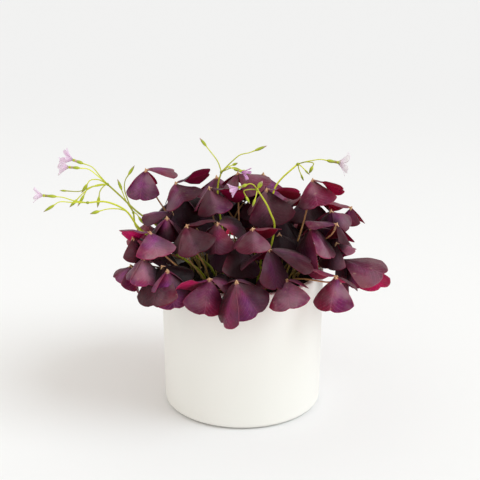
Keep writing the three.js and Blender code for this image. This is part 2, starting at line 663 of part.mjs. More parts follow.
function postureOf(leaf, closing) {
  const leaflets = leaf.leaflets.map(([turn, droop, ...rest]) => {
    return [turn, Math.sin(degrees(turn)) > AWAY ? droop + closing : droop, ...rest];
  });
  return { leaflets, points: scattered(surfacePoints(leafGeometry({ ...leaf, leaflets }, 0.1))) };
}

// The leaves that a leaf would come near, or null where it would come near anything else.
function leavesNear(points, shift, most) {
  const owners = new Set();
  for (const point of points) {
    const owner = bladeRoom.ownerAt(point[0] + shift[0], point[1] + shift[1], point[2] + shift[2]);
    if (owner === NOBODY) continue;
    owners.add(owner);
    if (owner < FIRST_LEAF || owners.size > most) return null;
  }
  return owners;
}

function placed() {
  return nodes.filter(Boolean).map(({ solid }) => solid);
}

function clearOf(solid, others) {
  return others.every((other) => solid.intersect(other).volume() === 0);
}

// Tries a leaf at ever larger shifts, with the leaflets that point away raised or lowered where that
// saves room.
// A leaf that finds no free place takes the one where it comes near the fewest others.
function settle(leaf) {
  const tries = [];
  for (const closing of CLOSINGS) {
    for (const aside of SIDESTEPS) {
      for (let travel = 0; travel <= SETTLE_LIMIT; travel += SETTLE_STEP) {
        for (const way of leaf.ways) tries.push({ closing, aside, travel: way * travel });
      }
    }
  }
  const cost = ({ closing, aside, travel }) => {
    return Math.abs(travel) + Math.abs(closing) * CLOSING_COST + Math.abs(aside) * ASIDE_COST;
  };
  tries.sort((a, b) => cost(a) - cost(b));
  const postures = new Map(CLOSINGS.map((closing) => [closing, postureOf(leaf, closing)]));
  let best = null;
  for (const { closing, aside, travel } of tries) {
    const { leaflets, points } = postures.get(closing);
    const shift = leaf.push.clone().multiplyScalar(travel).add(new THREE.Vector3(aside, 0, 0)).toArray();
    const near = leavesNear(points, shift, best ? best.near.size - 1 : 9);
    if (near === null) continue;
    const at = leaf.at.map((value, i) => value + shift[i]);
    const curve = clearPetiole(at, points, shift);
    if (!curve) continue;
    const petiole = stem(curve, PETIOLE_RADIUS, 4, 5);
    const blade = solidOf(leafGeometry({ ...leaf, leaflets, at }, BLADE_THICKNESS));
    if (!clearOf(solidOf(petiole), [blade, ...placed()]) || !clearOf(blade, [stalks])) continue;
    best = { blade, petiole, near };
    if (near.size === 0) break;
  }
  return best;
}

// Assembly: what is placed stays, and each later piece is set clear of it or fused into it

function place(name, solid, material, owner) {
  nodes[owner] = { name, solid, material };
  hosts[owner] = owner;
  const points = surfacePoints(geometryOf(solid));
  bladeRoom.add(points, owner);
  stemRoom.add(points, owner);
}

const stalkWells = SCAPES.map(({ stalk: [[x, y]] }) => {
  return well(x, y, STALK_RADIUS + 2, ROOT_DEPTH + SEAT_GAP, 6);
});
place('pot', solidOf(potGeometry()), glaze, 2);
place('soil', soilGeometry([
  well(0, 0, CROWN_RADIUS + SEAT_GAP * 2, CROWN_DEPTH + SEAT_GAP, POT_SEGMENTS),
  ...stalkWells,
]), earth, 3);
SCAPES.forEach((scape, i) => place(`scape_${i + 1}`, scapeSolid(scape), scapeSkin, 10 + i));
BLOOMS.forEach((bloom, i) => place(`bloom_${i + 1}`, bloomSolid(bloom), petalSkin, 20 + i));

const everyLeaf = [
  ...FRONT_ROW.map((leaf) => ({ ...leaf, push: SIGHT_LINE, ways: [-1, 1] })),
  ...FACE_LEAVES.map((leaf) => ({ ...leaf, push: SIGHT_LINE, ways: [1, -1] })),
  ...INNER_LEAVES.map((leaf) => ({ ...leaf, push: SIGHT_LINE, ways: [1, -1] })),
  ...backLeaves().map((leaf) => ({ ...leaf, ways: [1, -1] })),
];

// A leaf that crosses others becomes one body with them. A leaf without any room is left out.
stalks = crownSolid(stalkWells);
everyLeaf.forEach((leaf, i) => {
  const settled = settle(leaf);
  if (!settled) return;
  const owner = FIRST_LEAF + i;
  const name = `leaf_${String(i + 1).padStart(2, '0')}`;
  const { blade, petiole, near } = settled;
  const crossed = [...new Set([...near].map((other) => hosts[other]))]
    .filter((host) => nodes[host].solid.intersect(blade).volume() > 0);
  const solid = crossed.reduce((whole, host) => whole.add(nodes[host].solid), blade);
  if (solid.decompose().length > 1) return;
  crossed.forEach((host) => {
    hosts.forEach((_, other) => {
      if (hosts[other] === host) hosts[other] = owner;
    });
    delete nodes[host];
  });
  place(name, solid, leafSkins[i % leafSkins.length], owner);
  bladeRoom.add(surfacePoints(petiole), STEMS);
  stalks = stalks.add(solidOf(petiole));
});
nodes.forEach(({ name, solid, material }) => show(name, geometryOf(solid), material));
show('petioles', geometryOf(stalks), petioleSkin);

export default plant;
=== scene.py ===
import math

import bpy
import numpy as np
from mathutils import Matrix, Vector, noise
from mathutils.kdtree import KDTree


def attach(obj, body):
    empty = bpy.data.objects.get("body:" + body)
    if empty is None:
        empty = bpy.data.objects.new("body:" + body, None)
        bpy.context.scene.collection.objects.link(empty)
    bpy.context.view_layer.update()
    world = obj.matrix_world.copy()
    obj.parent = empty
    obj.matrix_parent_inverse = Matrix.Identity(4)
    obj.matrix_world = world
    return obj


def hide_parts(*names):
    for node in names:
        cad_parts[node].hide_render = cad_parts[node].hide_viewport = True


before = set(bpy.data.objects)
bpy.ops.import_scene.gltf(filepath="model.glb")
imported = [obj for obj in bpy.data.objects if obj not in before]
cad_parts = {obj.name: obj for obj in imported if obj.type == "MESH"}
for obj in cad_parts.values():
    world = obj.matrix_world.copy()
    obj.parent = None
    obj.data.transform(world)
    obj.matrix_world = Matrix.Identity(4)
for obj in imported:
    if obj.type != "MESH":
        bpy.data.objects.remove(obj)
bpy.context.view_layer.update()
MM = 0.001

# The pot, soil and leaf tables repeat the CAD model's named values, in millimetres and degrees.
POT_HEIGHT = 124
POT_TOP_RADIUS = 70
POT_FOOT_RADIUS = 68.2
POT_WALL = 4.2
POT_FLOOR = 6
FOOT_ROUNDING = 3.5
RIM_ROUNDING = 1.4
SOIL_TOP = 112
SOIL_CROWNING = 4
SEAT_GAP = 0.3
ROOT_SPREAD = 44
ROOT_INWARD = 0.6
ROOT_DEPTH = 2
BLADE_THICKNESS = 0.7
HALF_WIDTH_SHARE = 0.6
NECK_LENGTH = 6
NECK_BLEND = 0.6
PETIOLE_RADIUS = 0.9
STALK_RADIUS = 1.0
PEDICEL_RADIUS = 0.6
LEAFLET_ARCH = 14
LEAFLET_CUP = 10
TWISTED_SHARE = 0.45
AWAY = 0.4
CLOSINGS = [0, -15, 12]
SIDESTEPS = [0, 4, -4]
SETTLE_STEP = 2
SETTLE_LIMIT = 16
PETIOLE_LIFTS = [0, 12, 26]
PETIOLE_LEADS = [0.35, 0.15]
PETIOLE_SWINGS = [0, 0.5, -0.5, 1, -1]
PETIOLE_BOWS = [0, 12, -12]
PETIOLE_INSETS = [0, 14, -14]
PETIOLE_STEPS = 5
PETIOLE_MIDDLE = 0.5
LEAFLET_OUTLINE = [[0.06, 0.07], [0.45, 0.66], [0.79, 1], [0.98, 0.5]]
LEAFLET_MIDRIB = [0.5, 0.95]
# Half of a leaflet: the midrib's two corners come first, then the edge's four.
LEAFLET_FACES = [(0, 2, 3), (0, 3, 4), (0, 4, 1), (1, 4, 5)]

# Each leaf: its hub and three leaflets, each with the way it points, droop, twist, fold and length.
FRONT_ROW = [
    ((-27, -70, 139), (260, 52, -26, 12, 31), (20, 12, 20, 15, 28), (180, 16, 48, 8, 29)),
    ((-1, -74, 139), (331, 46, 30, 8, 33), (80, 10, 0, 20, 28), (199, 64, 0, 4, 39)),
    ((36, -70, 138), (272, 30, 20, 4, 29), (65, 28, 0, 18, 24), (150, 14, 0, 18, 26)),
    ((77, -60, 137), (250, 46, 4, 12, 31), (50, 36, 0, 20, 24), (150, 2, 34, 12, 31)),
    ((84, -30, 141), (336, 6, 10, 6, 41), (80, 20, 0, 20, 28), (298, 54, -40, 12, 31)),
    ((-66, -60, 146), (248, 44, 16, 4, 36), (12, 6, 10, 20, 28), (130, 25, 0, 20, 28)),
    ((-57, -66, 145), (292, 60, 20, 28, 33), (60, 30, 0, 20, 24), (160, 42, 0, 20, 22)),
    ((-93, -40, 139), (205, 25, -18, 20, 18), (298, 45, -40, 20, 24), (80, 35, 0, 20, 22)),
]
FACE_LEAVES = [
    ((-63, -8, 175), (174, 2, -4, 12, 27), (300, 55, 0, 20, 26), (60, 40, 0, 20, 25)),
    ((21, -60, 161), (304, 56, -24, 0, 34), (8, 14, 4, 4, 40), (140, 25, 0, 18, 30)),
    ((-6, -52, 163), (296, 40, -14, 4, 33), (50, 30, 0, 20, 29), (182, 28, -30, 16, 28)),
    ((57, -42, 174), (325, 40, -18, 2, 32), (75, 12, -15, 18, 26), (192, 62, -12, 16, 40)),
    ((8, -42, 172), (272, 30, 6, 8, 24), (25, 2, -34, 14, 24), (150, 35, 0, 20, 23)),
    ((-46, -45, 176), (300, 33, 24, 6, 28), (48, -4, -28, 12, 26), (178, 48, 0, 20, 26)),
    ((-72, -42, 169), (287, 23, 10, 2, 28), (48, 34, 0, 20, 26), (165, -4, 38, 12, 26)),
    ((-77, -45, 148), (288, 42, 0, 18, 25), (40, 28, 0, 20, 23), (170, 38, 0, 20, 23)),
    ((35, -32, 164), (325, 26, 10, 14, 25), (80, 28, 0, 20, 24), (210, 34, -16, 16, 25)),
    ((74, -30, 172), (176, -12, 10, 10, 27), (328, 40, -20, 18, 20), (64, 40, 0, 20, 24)),
    ((79, -30, 155), (345, 6, 0, 16, 18), (235, 45, 0, 20, 24), (105, 38, 0, 20, 23)),
    ((-21, -28, 172), (28, 8, 24, 8, 27), (128, 30, 0, 20, 25), (262, 50, 10, 14, 27)),
    ((20, -25, 201), (283, 49, 22, 6, 33), (354, -4, -34, 4, 29), (150, 42, 0, 22, 27)),
    ((-91, -25, 158), (300, 50, -20, 12, 22), (56, 16, 0, 8, 22), (172, 56, 0, 20, 17)),
    ((-59, -25, 176), (270, 56, 0, 32, 21), (30, 36, 0, 24, 20), (150, 36, 0, 24, 20)),
    ((75, -18, 180), (342, 30, 22, 14, 22), (90, 26, 0, 18, 24), (225, 50, 0, 18, 24)),
    ((-28, -12, 198), (286, 32, 16, 18, 27), (358, 0, -34, 10, 32), (150, 48, 0, 20, 24)),
    ((-48, -5, 189), (296, 62, -10, 8, 28), (42, 2, 24, 22, 26), (170, 44, 0, 20, 27)),
    ((59, -5, 203), (276, 28, 18, 12, 29), (345, 6, -34, 4, 29), (150, 52, 0, 20, 22)),
    ((94, 5, 175), (152, -14, 30, 14, 29), (250, 48, 0, 20, 17), (55, 42, 0, 20, 20)),
    ((-4, 12, 204), (328, 8, 16, 12, 30), (90, 28, 0, 18, 28), (207, 42, 0, 20, 28)),
    ((-53, 18, 192), (284, 10, 30, 12, 30), (22, -18, -40, 0, 32), (150, 56, 0, 18, 20)),
    ((-83, 20, 204), (248, 50, 7, 6, 28), (22, 2, 2, 4, 28), (120, 46, 0, 14, 25)),
    ((96, -8, 131), (10, 42, -40, 4, 36), (104, 30, 0, 20, 22), (250, 50, -14, 16, 24)),
]
INNER_LEAVES = [
    ((34, 12, 164), (262, 44, 0, 16, 26), (22, 34, 0, 20, 25), (142, 36, 0, 20, 25)),
    ((74, 2, 159), (268, 42, 8, 16, 27), (28, 34, 0, 20, 25), (148, 36, 0, 20, 25)),
    ((58, 14, 178), (280, 44, 0, 16, 27), (40, 38, 0, 20, 26), (160, 36, 0, 20, 26)),
    ((-84, 8, 160), (240, 40, 0, 16, 26), (0, 34, 0, 20, 25), (120, 36, 0, 20, 25)),
    ((8, 8, 188), (275, 44, 0, 16, 27), (35, 34, 0, 20, 26), (155, 36, 0, 20, 26)),
    ((-62, 22, 176), (262, 44, 0, 16, 27), (22, 34, 0, 20, 26), (142, 36, 0, 20, 26)),
    ((-2, 30, 174), (265, 44, 0, 16, 27), (25, 34, 0, 20, 26), (145, 36, 0, 20, 26)),
    ((-34, 22, 172), (262, 44, 0, 16, 27), (22, 34, 0, 20, 26), (142, 36, 0, 20, 26)),
    ((-10, 15, 160), (266, 44, 0, 16, 27), (26, 34, 0, 20, 25), (146, 36, 0, 20, 25)),
]
# Tiers at the back: how many leaves, first and last turn, distance, height, the inner leaflets' droop.
BACK_TIERS = [
    (5, 26, 160, 80, 138, 10),
    (4, 40, 142, 68, 154, 24),
    (4, 30, 150, 50, 172, 32),
    (2, 60, 120, 28, 190, 34),
]
BACK_LENGTH = 31
BACK_OUTER = (44, 8, 14, BACK_LENGTH)
BACK_INNER = (0, 20, BACK_LENGTH)
BACK_VARIETY = [8, 10, 14, 6, 3]
BACK_STRAY = 5
BACK_RISE = 0.3
SIGHT_LINE = np.array([0, 0.94, -0.34])

# Each scape: its stem, and its pedicels with the stem's point that they leave, their route from there,
# and their bud's length and radius.
TIP = -1
SCAPES = [
    ([(-24, -4, 104), (-25, -4, 119), (-49, -5, 144), (-64, -4, 156), (-77, -2, 164), (-90, 0, 173),
      (-104, 3, 186), (-115, 5, 196)],
     [(TIP, [(-121, 3, 204), (-127, 2, 212), (-135, 0, 216)], 7, 1.5),
      (TIP, [(-124, 8, 203), (-131, 9, 208), (-139, 9, 209)], 7, 1.4),
      (TIP, [(-123, 3, 196), (-131, 0, 193), (-136, -1, 189), (-141, -2, 184)], 9, 1.4),
      (TIP, [(-123, 8, 199), (-130, 9, 198), (-133, 9, 194)], 9, 1.5),
      (TIP, [(-122, 0, 196), (-130, -6, 196), (-134, -8, 190)], 11, 1.3),
      (TIP, [(-118, 2, 195), (-121, 0, 191), (-122, 0, 186)], 10, 1.4),
      (TIP, [(-129, 14, 191), (-140, 16, 186), (-152, 17, 186)], 6, 0.9)]),
    ([(-32, -13, 104), (-33, -13, 119), (-62, -14, 144), (-77, -16, 155), (-88, -17, 165), (-98, -18, 180),
      (-114, -19, 188), (-130, -18, 187)],
     [(TIP, [(-142, -18, 189), (-150, -19, 192), (-156, -20, 193)], 9, 1.4),
      (TIP, [(-144, -14, 186), (-154, -13, 186), (-159, -13, 183)], 11, 1.3),
      (5, [(-105, -22, 183), (-113, -26, 184), (-120, -26, 182)], 8, 1.5)]),
    ([(-26, 7, 104), (-27, 7, 119), (-71, 7, 144), (-86, 9, 151), (-92, 10, 156), (-94, 10, 169)],
     [(TIP, [(-98, 10, 179), (-101, 10, 190), (-100, 10, 198), (-97, 10, 203)], 10, 1.3),
      (TIP, [(-100, 13, 178), (-104, 15, 188)], 10, 1.3),
      (TIP, [(-91, 8, 168), (-89, 8, 165)], 8, 1.3)]),
    ([(-12, 8, 104), (-12, 8, 119), (-14, 5, 138), (-18, 4, 160), (-21, 6, 181), (-21, 8, 194),
      (-18, 8, 206)],
     [(TIP, [(-21, 8, 215), (-28, 8, 225), (-31, 8, 229)], 9, 1.3),
      (TIP, [(-7, 8, 217), (-2, 8, 221), (6, 8, 223), (11, 8, 225)], 11, 1.3),
      (TIP, [(-12, 3, 212), (-8, 2, 214)], 5, 1.2),
      (TIP, [(-12, 2, 212), (-7, 0, 211)], 5, 1.3),
      (TIP, [(-7, 14, 208), (0, 14, 205)], 8, 1.9)]),
    ([(13, -22, 104), (13, -22, 119), (17, -29, 133), (21, -34, 146), (25, -40, 163), (26, -43, 178),
      (23, -43, 186), (20, -42, 193), (12, -38, 205)],
     [(TIP, [(9, -38, 209), (6, -38, 210), (3, -38, 209)], 5, 1.4),
      (TIP, [(12, -40, 206), (13, -41, 208)], 8, 1.9),
      (TIP, [(5, -44, 207), (1, -45, 206), (3, -45, 201)], 7, 1.1),
      (TIP, [(11, -42, 201), (10, -43, 198)], 7, 1.1)]),
    ([(15, 4, 104), (15, 4, 119), (17, 2, 134), (20, 2, 160), (24, 4, 178), (28, 6, 193), (33, 7, 200),
      (47, 8, 213)],
     [(TIP, [(54, 8, 215), (59, 8, 216), (66, 8, 217), (72, 8, 216)], 8, 1.5),
      (TIP, [(54, 4, 216), (60, 3, 215), (59, 3, 212)], 7, 1.5),
      (TIP, [(50, 4, 212), (53, 3, 209)], 6, 0.8),
      (TIP, [(48, 8, 208), (50, 8, 203)], 6, 0.9)]),
]
# Blooms: scape, pedicel, petals' length, how wide the funnel opens, how pink they are.
BLOOMS = [
    (0, 0, 13, 40, 0.3),
    (0, 1, 13, 40, 0.2),
    (1, 0, 11, 38, 0.2),
    (3, 3, 10, 35, 0.9),
    (4, 0, 11, 35, 0.6),
    (5, 0, 14, 50, 0.0),
]

FULL_TURN = 6.28
OFF_AXIS = [0.3, 0.9, 0.2]


def seeded(seed):
    """A repeatable row of numbers from 0 to 1."""
    state = seed

    def draw():
        nonlocal state
        state = (state * 1664525 + 1013904223) % 4294967296
        return state / 4294967296

    return draw


def unit(v):
    v = np.asarray(v, float)
    return v / np.linalg.norm(v)


def polar(reach, turn, height=0):
    return np.array([reach * math.cos(turn), reach * math.sin(turn), height])


def turns(count):
    return [2 * math.pi * i / count for i in range(count)]


def back_leaves():
    draw = seeded(7)

    def around(middle, spread):
        return middle + spread * (2 * draw() - 1)

    rows = []
    for count, first, last, distance, height, inward in BACK_TIERS:
        for i in range(count):
            turn = first + (last - first) * i / (count - 1) + around(0, BACK_STRAY)
            reach = around(distance, BACK_STRAY)
            way = math.radians(turn)
            at = polar(reach, way, around(height, BACK_STRAY))
            leaflets = [(turn, *BACK_OUTER)]
            leaflets += [(turn + step, inward, *BACK_INNER) for step in (120, 240)]
            leaflets = [tuple(map(around, leaflet, BACK_VARIETY)) for leaflet in leaflets]
            rows.append(((at, *leaflets), unit(polar(1, way, BACK_RISE)), (1, -1)))
    return rows


def every_leaf():
    """Each leaf's row, the way it may be moved, and in which sense first."""
    rows = [(row, SIGHT_LINE, (-1, 1)) for row in FRONT_ROW]
    rows += [(row, SIGHT_LINE, (1, -1)) for row in FACE_LEAVES + INNER_LEAVES]
    return rows + back_leaves()


# Blades, as in the CAD model: a sheet that bends along its midrib and across it

def arc(start, bend, share):
    """How far a bending line has gone along and across its start, at a share of its length."""
    start, bend = math.radians(start), math.radians(bend)
    share = np.asarray(share, float)
    if abs(bend) < 1e-3:
        return math.cos(start) * share, math.sin(start) * share
    return (
        (np.sin(start + bend * share) - math.sin(start)) / bend,
        (math.cos(start) - np.cos(start + bend * share)) / bend,
    )


def blade_points(blade, along, across, side):
    """A leaflet's points from its foot, by their shares of its midrib and of one side's width."""
    length, half, droop, roll, arch, fold, cup, turn = blade
    along, across, side = np.broadcast_arrays(*(np.asarray(v, float) for v in (along, across, side)))
    out, down = arc(droop, arch, along)
    slope = np.radians(droop + arch * along)
    wide, dip = arc(fold, cup, across)
    x = length * out - half * dip * np.sin(slope)
    y = side * half * wide
    z = -length * down - half * dip * np.cos(slope)
    flat = np.stack([x, y, z], -1)
    start = np.array([math.cos(math.radians(droop)), 0, -math.sin(math.radians(droop))])
    twist = (math.radians(roll) * np.minimum(1, along / TWISTED_SHARE))[..., None]
    flat = (
        flat * np.cos(twist)
        + np.cross(start, flat) * np.sin(twist)
        + start * (flat @ start)[..., None] * (1 - np.cos(twist))
    )
    x, y, z = np.moveaxis(flat, -1, 0)
    c, s = math.cos(math.radians(turn)), math.sin(math.radians(turn))
    return np.stack([c * x - s * y, s * x + c * y, z], -1)


def leaf_blades(leaflets):
    blades = [
        (length, length * HALF_WIDTH_SHARE, droop, roll, LEAFLET_ARCH, fold, LEAFLET_CUP, turn % 360)
        for turn, droop, roll, fold, length in leaflets
    ]
    return sorted(blades, key=lambda blade: blade[-1])


def top_corners(blades):
    """The top corners of the CAD leaf's coarse sheet, from its hub."""
    points, faces, ring = [np.zeros(3)], [], []
    for blade in blades:
        ribs = [len(points), len(points) + 1]
        points += [blade_points(blade, along, 0, 1) for along in LEAFLET_MIDRIB]
        feet = []
        for side in (1, -1):
            feet.append(len(points))
            points += [blade_points(blade, *edge, side) for edge in LEAFLET_OUTLINE]
            corners = ribs + list(range(feet[-1], len(points)))
            faces += [[corners[i] for i in face][::-side] for face in LEAFLET_FACES]
        faces.append([feet[1], ribs[0], feet[0]])
        ring += [feet[1], feet[0]]
    faces += [[0, a, ring[(i + 1) % len(ring)]] for i, a in enumerate(ring)]
    points = np.array(points)
    normals = np.zeros_like(points)
    for a, b, c in faces:
        cross = np.cross(points[b] - points[a], points[c] - points[a])
        for i in (a, b, c):
            normals[i] += cross
    normals /= np.linalg.norm(normals, axis=1)[:, None]
    return points + normals * BLADE_THICKNESS / 2


def root_under(at, turn):
    spread = min(ROOT_SPREAD, math.hypot(at[0], at[1]) * ROOT_INWARD)
    return polar(spread, math.atan2(at[1], at[0]) + turn, SOIL_TOP - ROOT_DEPTH)


def neck_direction(at):
    way = unit(root_under(at, 0) - np.array(at)) * NECK_BLEND
    return unit(way + np.array([0, 0, NECK_BLEND - 1]))


def bezier(points, t):
    t = np.asarray(t)[:, None]
    a, b, c, d = points
    return (1 - t) ** 3 * a + 3 * (1 - t) ** 2 * t * b + 3 * (1 - t) * t * t * c + t ** 3 * d


def spaced(points, steps):
    """Points of the curve at even distances along it."""
    fine = bezier(points, np.linspace(0, 1, 201))
    run = np.concatenate([[0], np.cumsum(np.linalg.norm(np.diff(fine, axis=0), axis=1))])
    at = np.interp(np.linspace(0, run[-1], steps + 1), run, np.linspace(0, 1, 201))
    return bezier(points, at)


def petiole_curves(at):
    """The ways a petiole may take from the soil to the neck of a leaf, in the order they are tried."""
    neck = neck_direction(at)
    end = np.array(at) + neck * (NECK_LENGTH + SEAT_GAP)
    turn = math.atan2(end[1], end[0])
    out, across = polar(1, turn), np.array([-math.sin(turn), math.cos(turn), 0])
    for lift in PETIOLE_LIFTS:
        for lead in PETIOLE_LEADS:
            for swing in PETIOLE_SWINGS:
                root = root_under(at, swing)
                low = root + np.array([0, 0, (end[2] - root[2]) * PETIOLE_MIDDLE + lift])
                high = end + neck * np.linalg.norm(root - end) * lead
                for bow in PETIOLE_BOWS:
                    for inset in PETIOLE_INSETS:
                        yield [root, low + across * bow + out * inset, high, end]


# The CAD model's own search settled each leaf. The same choices are tried here against its nodes.

MATCH_DISTANCE = 0.05
LEAST_MATCHES = 8


def tree_of(names):
    """The corners of the nodes' meshes, to be found by their place, and the node that each is of."""
    corners = [(vertex.co / MM, name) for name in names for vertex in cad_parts[name].data.vertices]
    tree = KDTree(len(corners))
    for i, (corner, _) in enumerate(corners):
        tree.insert(corner, i)
    tree.balance()
    return tree, [name for _, name in corners]


def matched_place(row, push, ways, tree):
    """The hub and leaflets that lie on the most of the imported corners, after the number of these."""
    at, *leaflets = row
    best = (0, None, None)
    for closing in CLOSINGS:
        tried = [
            (turn, droop + closing * (math.sin(math.radians(turn)) > AWAY), *rest)
            for turn, droop, *rest in leaflets
        ]
        corners = top_corners(leaf_blades(tried))
        for aside in SIDESTEPS:
            for step in range(0, SETTLE_LIMIT + 1, SETTLE_STEP):
                for way in ways:
                    hub = np.array(at) + push * way * step + np.array([aside, 0, 0])
                    hits = sum(tree.find(corner + hub)[2] < MATCH_DISTANCE for corner in corners)
                    if hits > best[0]:
                        best = (hits, hub, tried)
    return best


def matched_petiole(hub, stems):
    """The first of the curves that have the most imported corners on their surface."""
    def matches(curve):
        return sum(
            abs(apart - PETIOLE_RADIUS) < MATCH_DISTANCE
            for middle in spaced(curve, PETIOLE_STEPS)[1:-1]
            for _, _, apart in stems.find_range(middle, 1)
        )

    return max(petiole_curves(hub), key=matches)


def settled_leaves():
    tree, owners = tree_of([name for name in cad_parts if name.startswith("leaf")])
    stems, _ = tree_of(["petioles"])
    leaves = []
    for number, (row, push, ways) in enumerate(every_leaf(), 1):
        matches, hub, tried = matched_place(row, push, ways, tree)
        if matches < LEAST_MATCHES:
            continue
        blades = leaf_blades(tried)
        near = [tree.find(corner + hub) for corner in top_corners(blades)]
        leaves.append({
            "number": number,
            "hub": hub,
            "blades": blades,
            "nodes": sorted({owners[i] for _, i, apart in near if apart < MATCH_DISTANCE}),
            "petiole": matched_petiole(hub, stems),
        })
    return leaves


# Meshes

class Build:
    """Collects closed shapes into one piece."""

    def __init__(self):
        self.points, self.faces, self.kinds, self.tone, self.place = [], [], [], [], []

    def add(self, points, faces, kind=0, tone=(0.5, 0.5, 0.5, 1), place=(0, 0, 0)):
        first = sum(len(p) for p in self.points)
        count = len(points)
        self.points.append(np.asarray(points, float))
        self.faces += [[first + i for i in face] for face in faces]
        self.kinds += list(kind) if np.ndim(kind) else [kind] * len(faces)
        self.tone.append(np.broadcast_to(tone, (count, 4)))
        self.place.append(np.broadcast_to(place, (count, 3)))

    def make(self, name, materials):
        mesh = bpy.data.meshes.new(name)
        mesh.from_pydata((np.concatenate(self.points) * MM).tolist(), [], self.faces)
        for material in materials:
            mesh.materials.append(MATERIALS[material])
        mesh.polygons.foreach_set("material_index", self.kinds)
        mesh.polygons.foreach_set("use_smooth", [True] * len(self.faces))
        tone = mesh.attributes.new("tone", "FLOAT_COLOR", "POINT")
        tone.data.foreach_set("color", np.concatenate(self.tone).astype(np.float32).ravel())
        place = mesh.attributes.new("place", "FLOAT_VECTOR", "POINT")
        place.data.foreach_set("vector", np.concatenate(self.place).astype(np.float32).ravel())
        mesh.update()
        piece = bpy.data.objects.new(name, mesh)
        bpy.context.scene.collection.objects.link(piece)
        return piece

    def finish(self, name, materials, slot, *nodes):
        """Makes a piece of the plant, which stands for the nodes."""
        piece = self.make(name, materials)
        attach(piece, "root")
        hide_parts(*nodes)


def barrel_faces(rings, sides):
    """The faces of a closed row of rings."""
    faces = []
    for a in range(0, (rings - 1) * sides, sides):
        b = a + sides
        for i in range(sides):
            j = (i + 1) % sides
            faces.append([a + i, a + j, b + j, b + i])
    faces.append(list(range(sides))[::-1])
    faces.append([(rings - 1) * sides + i for i in range(sides)])
    return faces


def pointed_faces(rings, sides):
    """The faces of a row of rings between a first and a last point on their axis."""
    last = rings * sides + 1
    faces = []
    for i in range(sides):
        j = (i + 1) % sides
        faces.append([0, 1 + j, 1 + i])
        for a in range(1, last - sides, sides):
            b = a + sides
            faces.append([a + i, a + j, b + j, b + i])
        faces.append([last - sides + i, last - sides + j, last])
    return faces


def tube(path, radii, sides):
    """A closed tube through the path's points, with frames that don't twist."""
    path = np.asarray(path, float)
    radii = np.broadcast_to(radii, len(path))
    tangents = np.gradient(path, axis=0)
    tangents /= np.linalg.norm(tangents, axis=1)[:, None]
    side = np.cross(tangents[0], OFF_AXIS)
    points = []
    for centre, tangent, radius in zip(path, tangents, radii):
        side = unit(side - tangent * (side @ tangent))
        other = np.cross(tangent, side)
        for turn in turns(sides):
            points.append(centre + radius * (math.cos(turn) * side + math.sin(turn) * other))
    return points, barrel_faces(len(path), sides)


def add_stalk(build, path, radius, taper, sides, tone, reach=(0, 1)):
    """A stalk along the path; place holds the share of the way along it, within reach."""
    share = np.linspace(0, 1, len(path))
    points, faces = tube(path, radius * np.interp(share, *taper), sides)
    place = np.zeros((len(points), 3))
    place[:, 0] = np.repeat(np.interp(share, [0, 1], reach), sides)
    build.add(points, faces, 0, tone, place)


def add_bead(build, at, way, runs, radii, sides, kind):
    """A short swelling along one direction."""
    build.add(*tube([at + way * run for run in runs], radii, sides), kind=kind)


def blended(first, last, start, end, at):
    return (end - at) / (end - start) * first + (at - start) / (end - start) * last


def smooth_path(points, steps):
    """Centripetal Catmull-Rom through the points."""
    p = np.asarray(points, float)
    p = np.vstack([2 * p[0] - p[1], p, 2 * p[-1] - p[-2]])
    path = []
    for a, b, c, d in zip(p, p[1:], p[2:], p[3:]):
        spans = [max(1e-4, np.linalg.norm(span)) ** 0.5 for span in (b - a, c - b, d - c)]
        k0, k1, k2, k3 = np.concatenate([[0], np.cumsum(spans)])
        for t in np.linspace(k1, k2, steps, endpoint=False):
            ab, bc, cd = blended(a, b, k0, k1, t), blended(b, c, k1, k2, t), blended(c, d, k2, k3, t)
            path.append(blended(blended(ab, bc, k0, k2, t), blended(bc, cd, k1, k3, t), k1, k2, t))
    return np.array(path + [p[-2]])


def grid_normals(grid):
    """The unit normal at each point of a grid."""
    normals = np.cross(np.gradient(grid, axis=0), np.gradient(grid, axis=1))
    return normals / np.maximum(np.linalg.norm(normals, axis=2), 1e-9)[..., None]


def sheet(grid, thickness, place, tone, build, kinds):
    """A closed thin sheet over a grid of points: top, underside and rim."""
    rows, columns, _ = grid.shape
    half = grid_normals(grid) * thickness[..., None] / 2
    count = rows * columns
    points = np.concatenate([(grid + half).reshape(-1, 3), (grid - half).reshape(-1, 3)])
    faces, kind = [], []
    for i in range(rows - 1):
        for j in range(columns - 1):
            a = i * columns + j
            quad = [a, a + columns, a + columns + 1, a + 1]
            faces += [quad, [count + q for q in quad[::-1]]]
            kind += kinds[:2]
    number = np.arange(count).reshape(rows, columns)
    edge = np.concatenate([number[:, 0], number[-1, 1:], number[-2::-1, -1], number[0, -2:0:-1]]).tolist()
    for a, b in zip(edge, edge[1:] + edge[:1]):
        faces.append([b, a, count + a, count + b])
        kind.append(kinds[2])
    place = place.reshape(-1, 3)
    tone = np.broadcast_to(tone, (rows, columns, 4)).reshape(-1, 4)
    build.add(points, faces, kind, np.concatenate([tone, tone]), np.concatenate([place, place]))


# Materials

def colour(*values):
    linear = [c / 255 / 12.92 if c <= 10 else ((c / 255 + 0.055) / 1.055) ** 2.4 for c in values]
    return (*linear, 1)


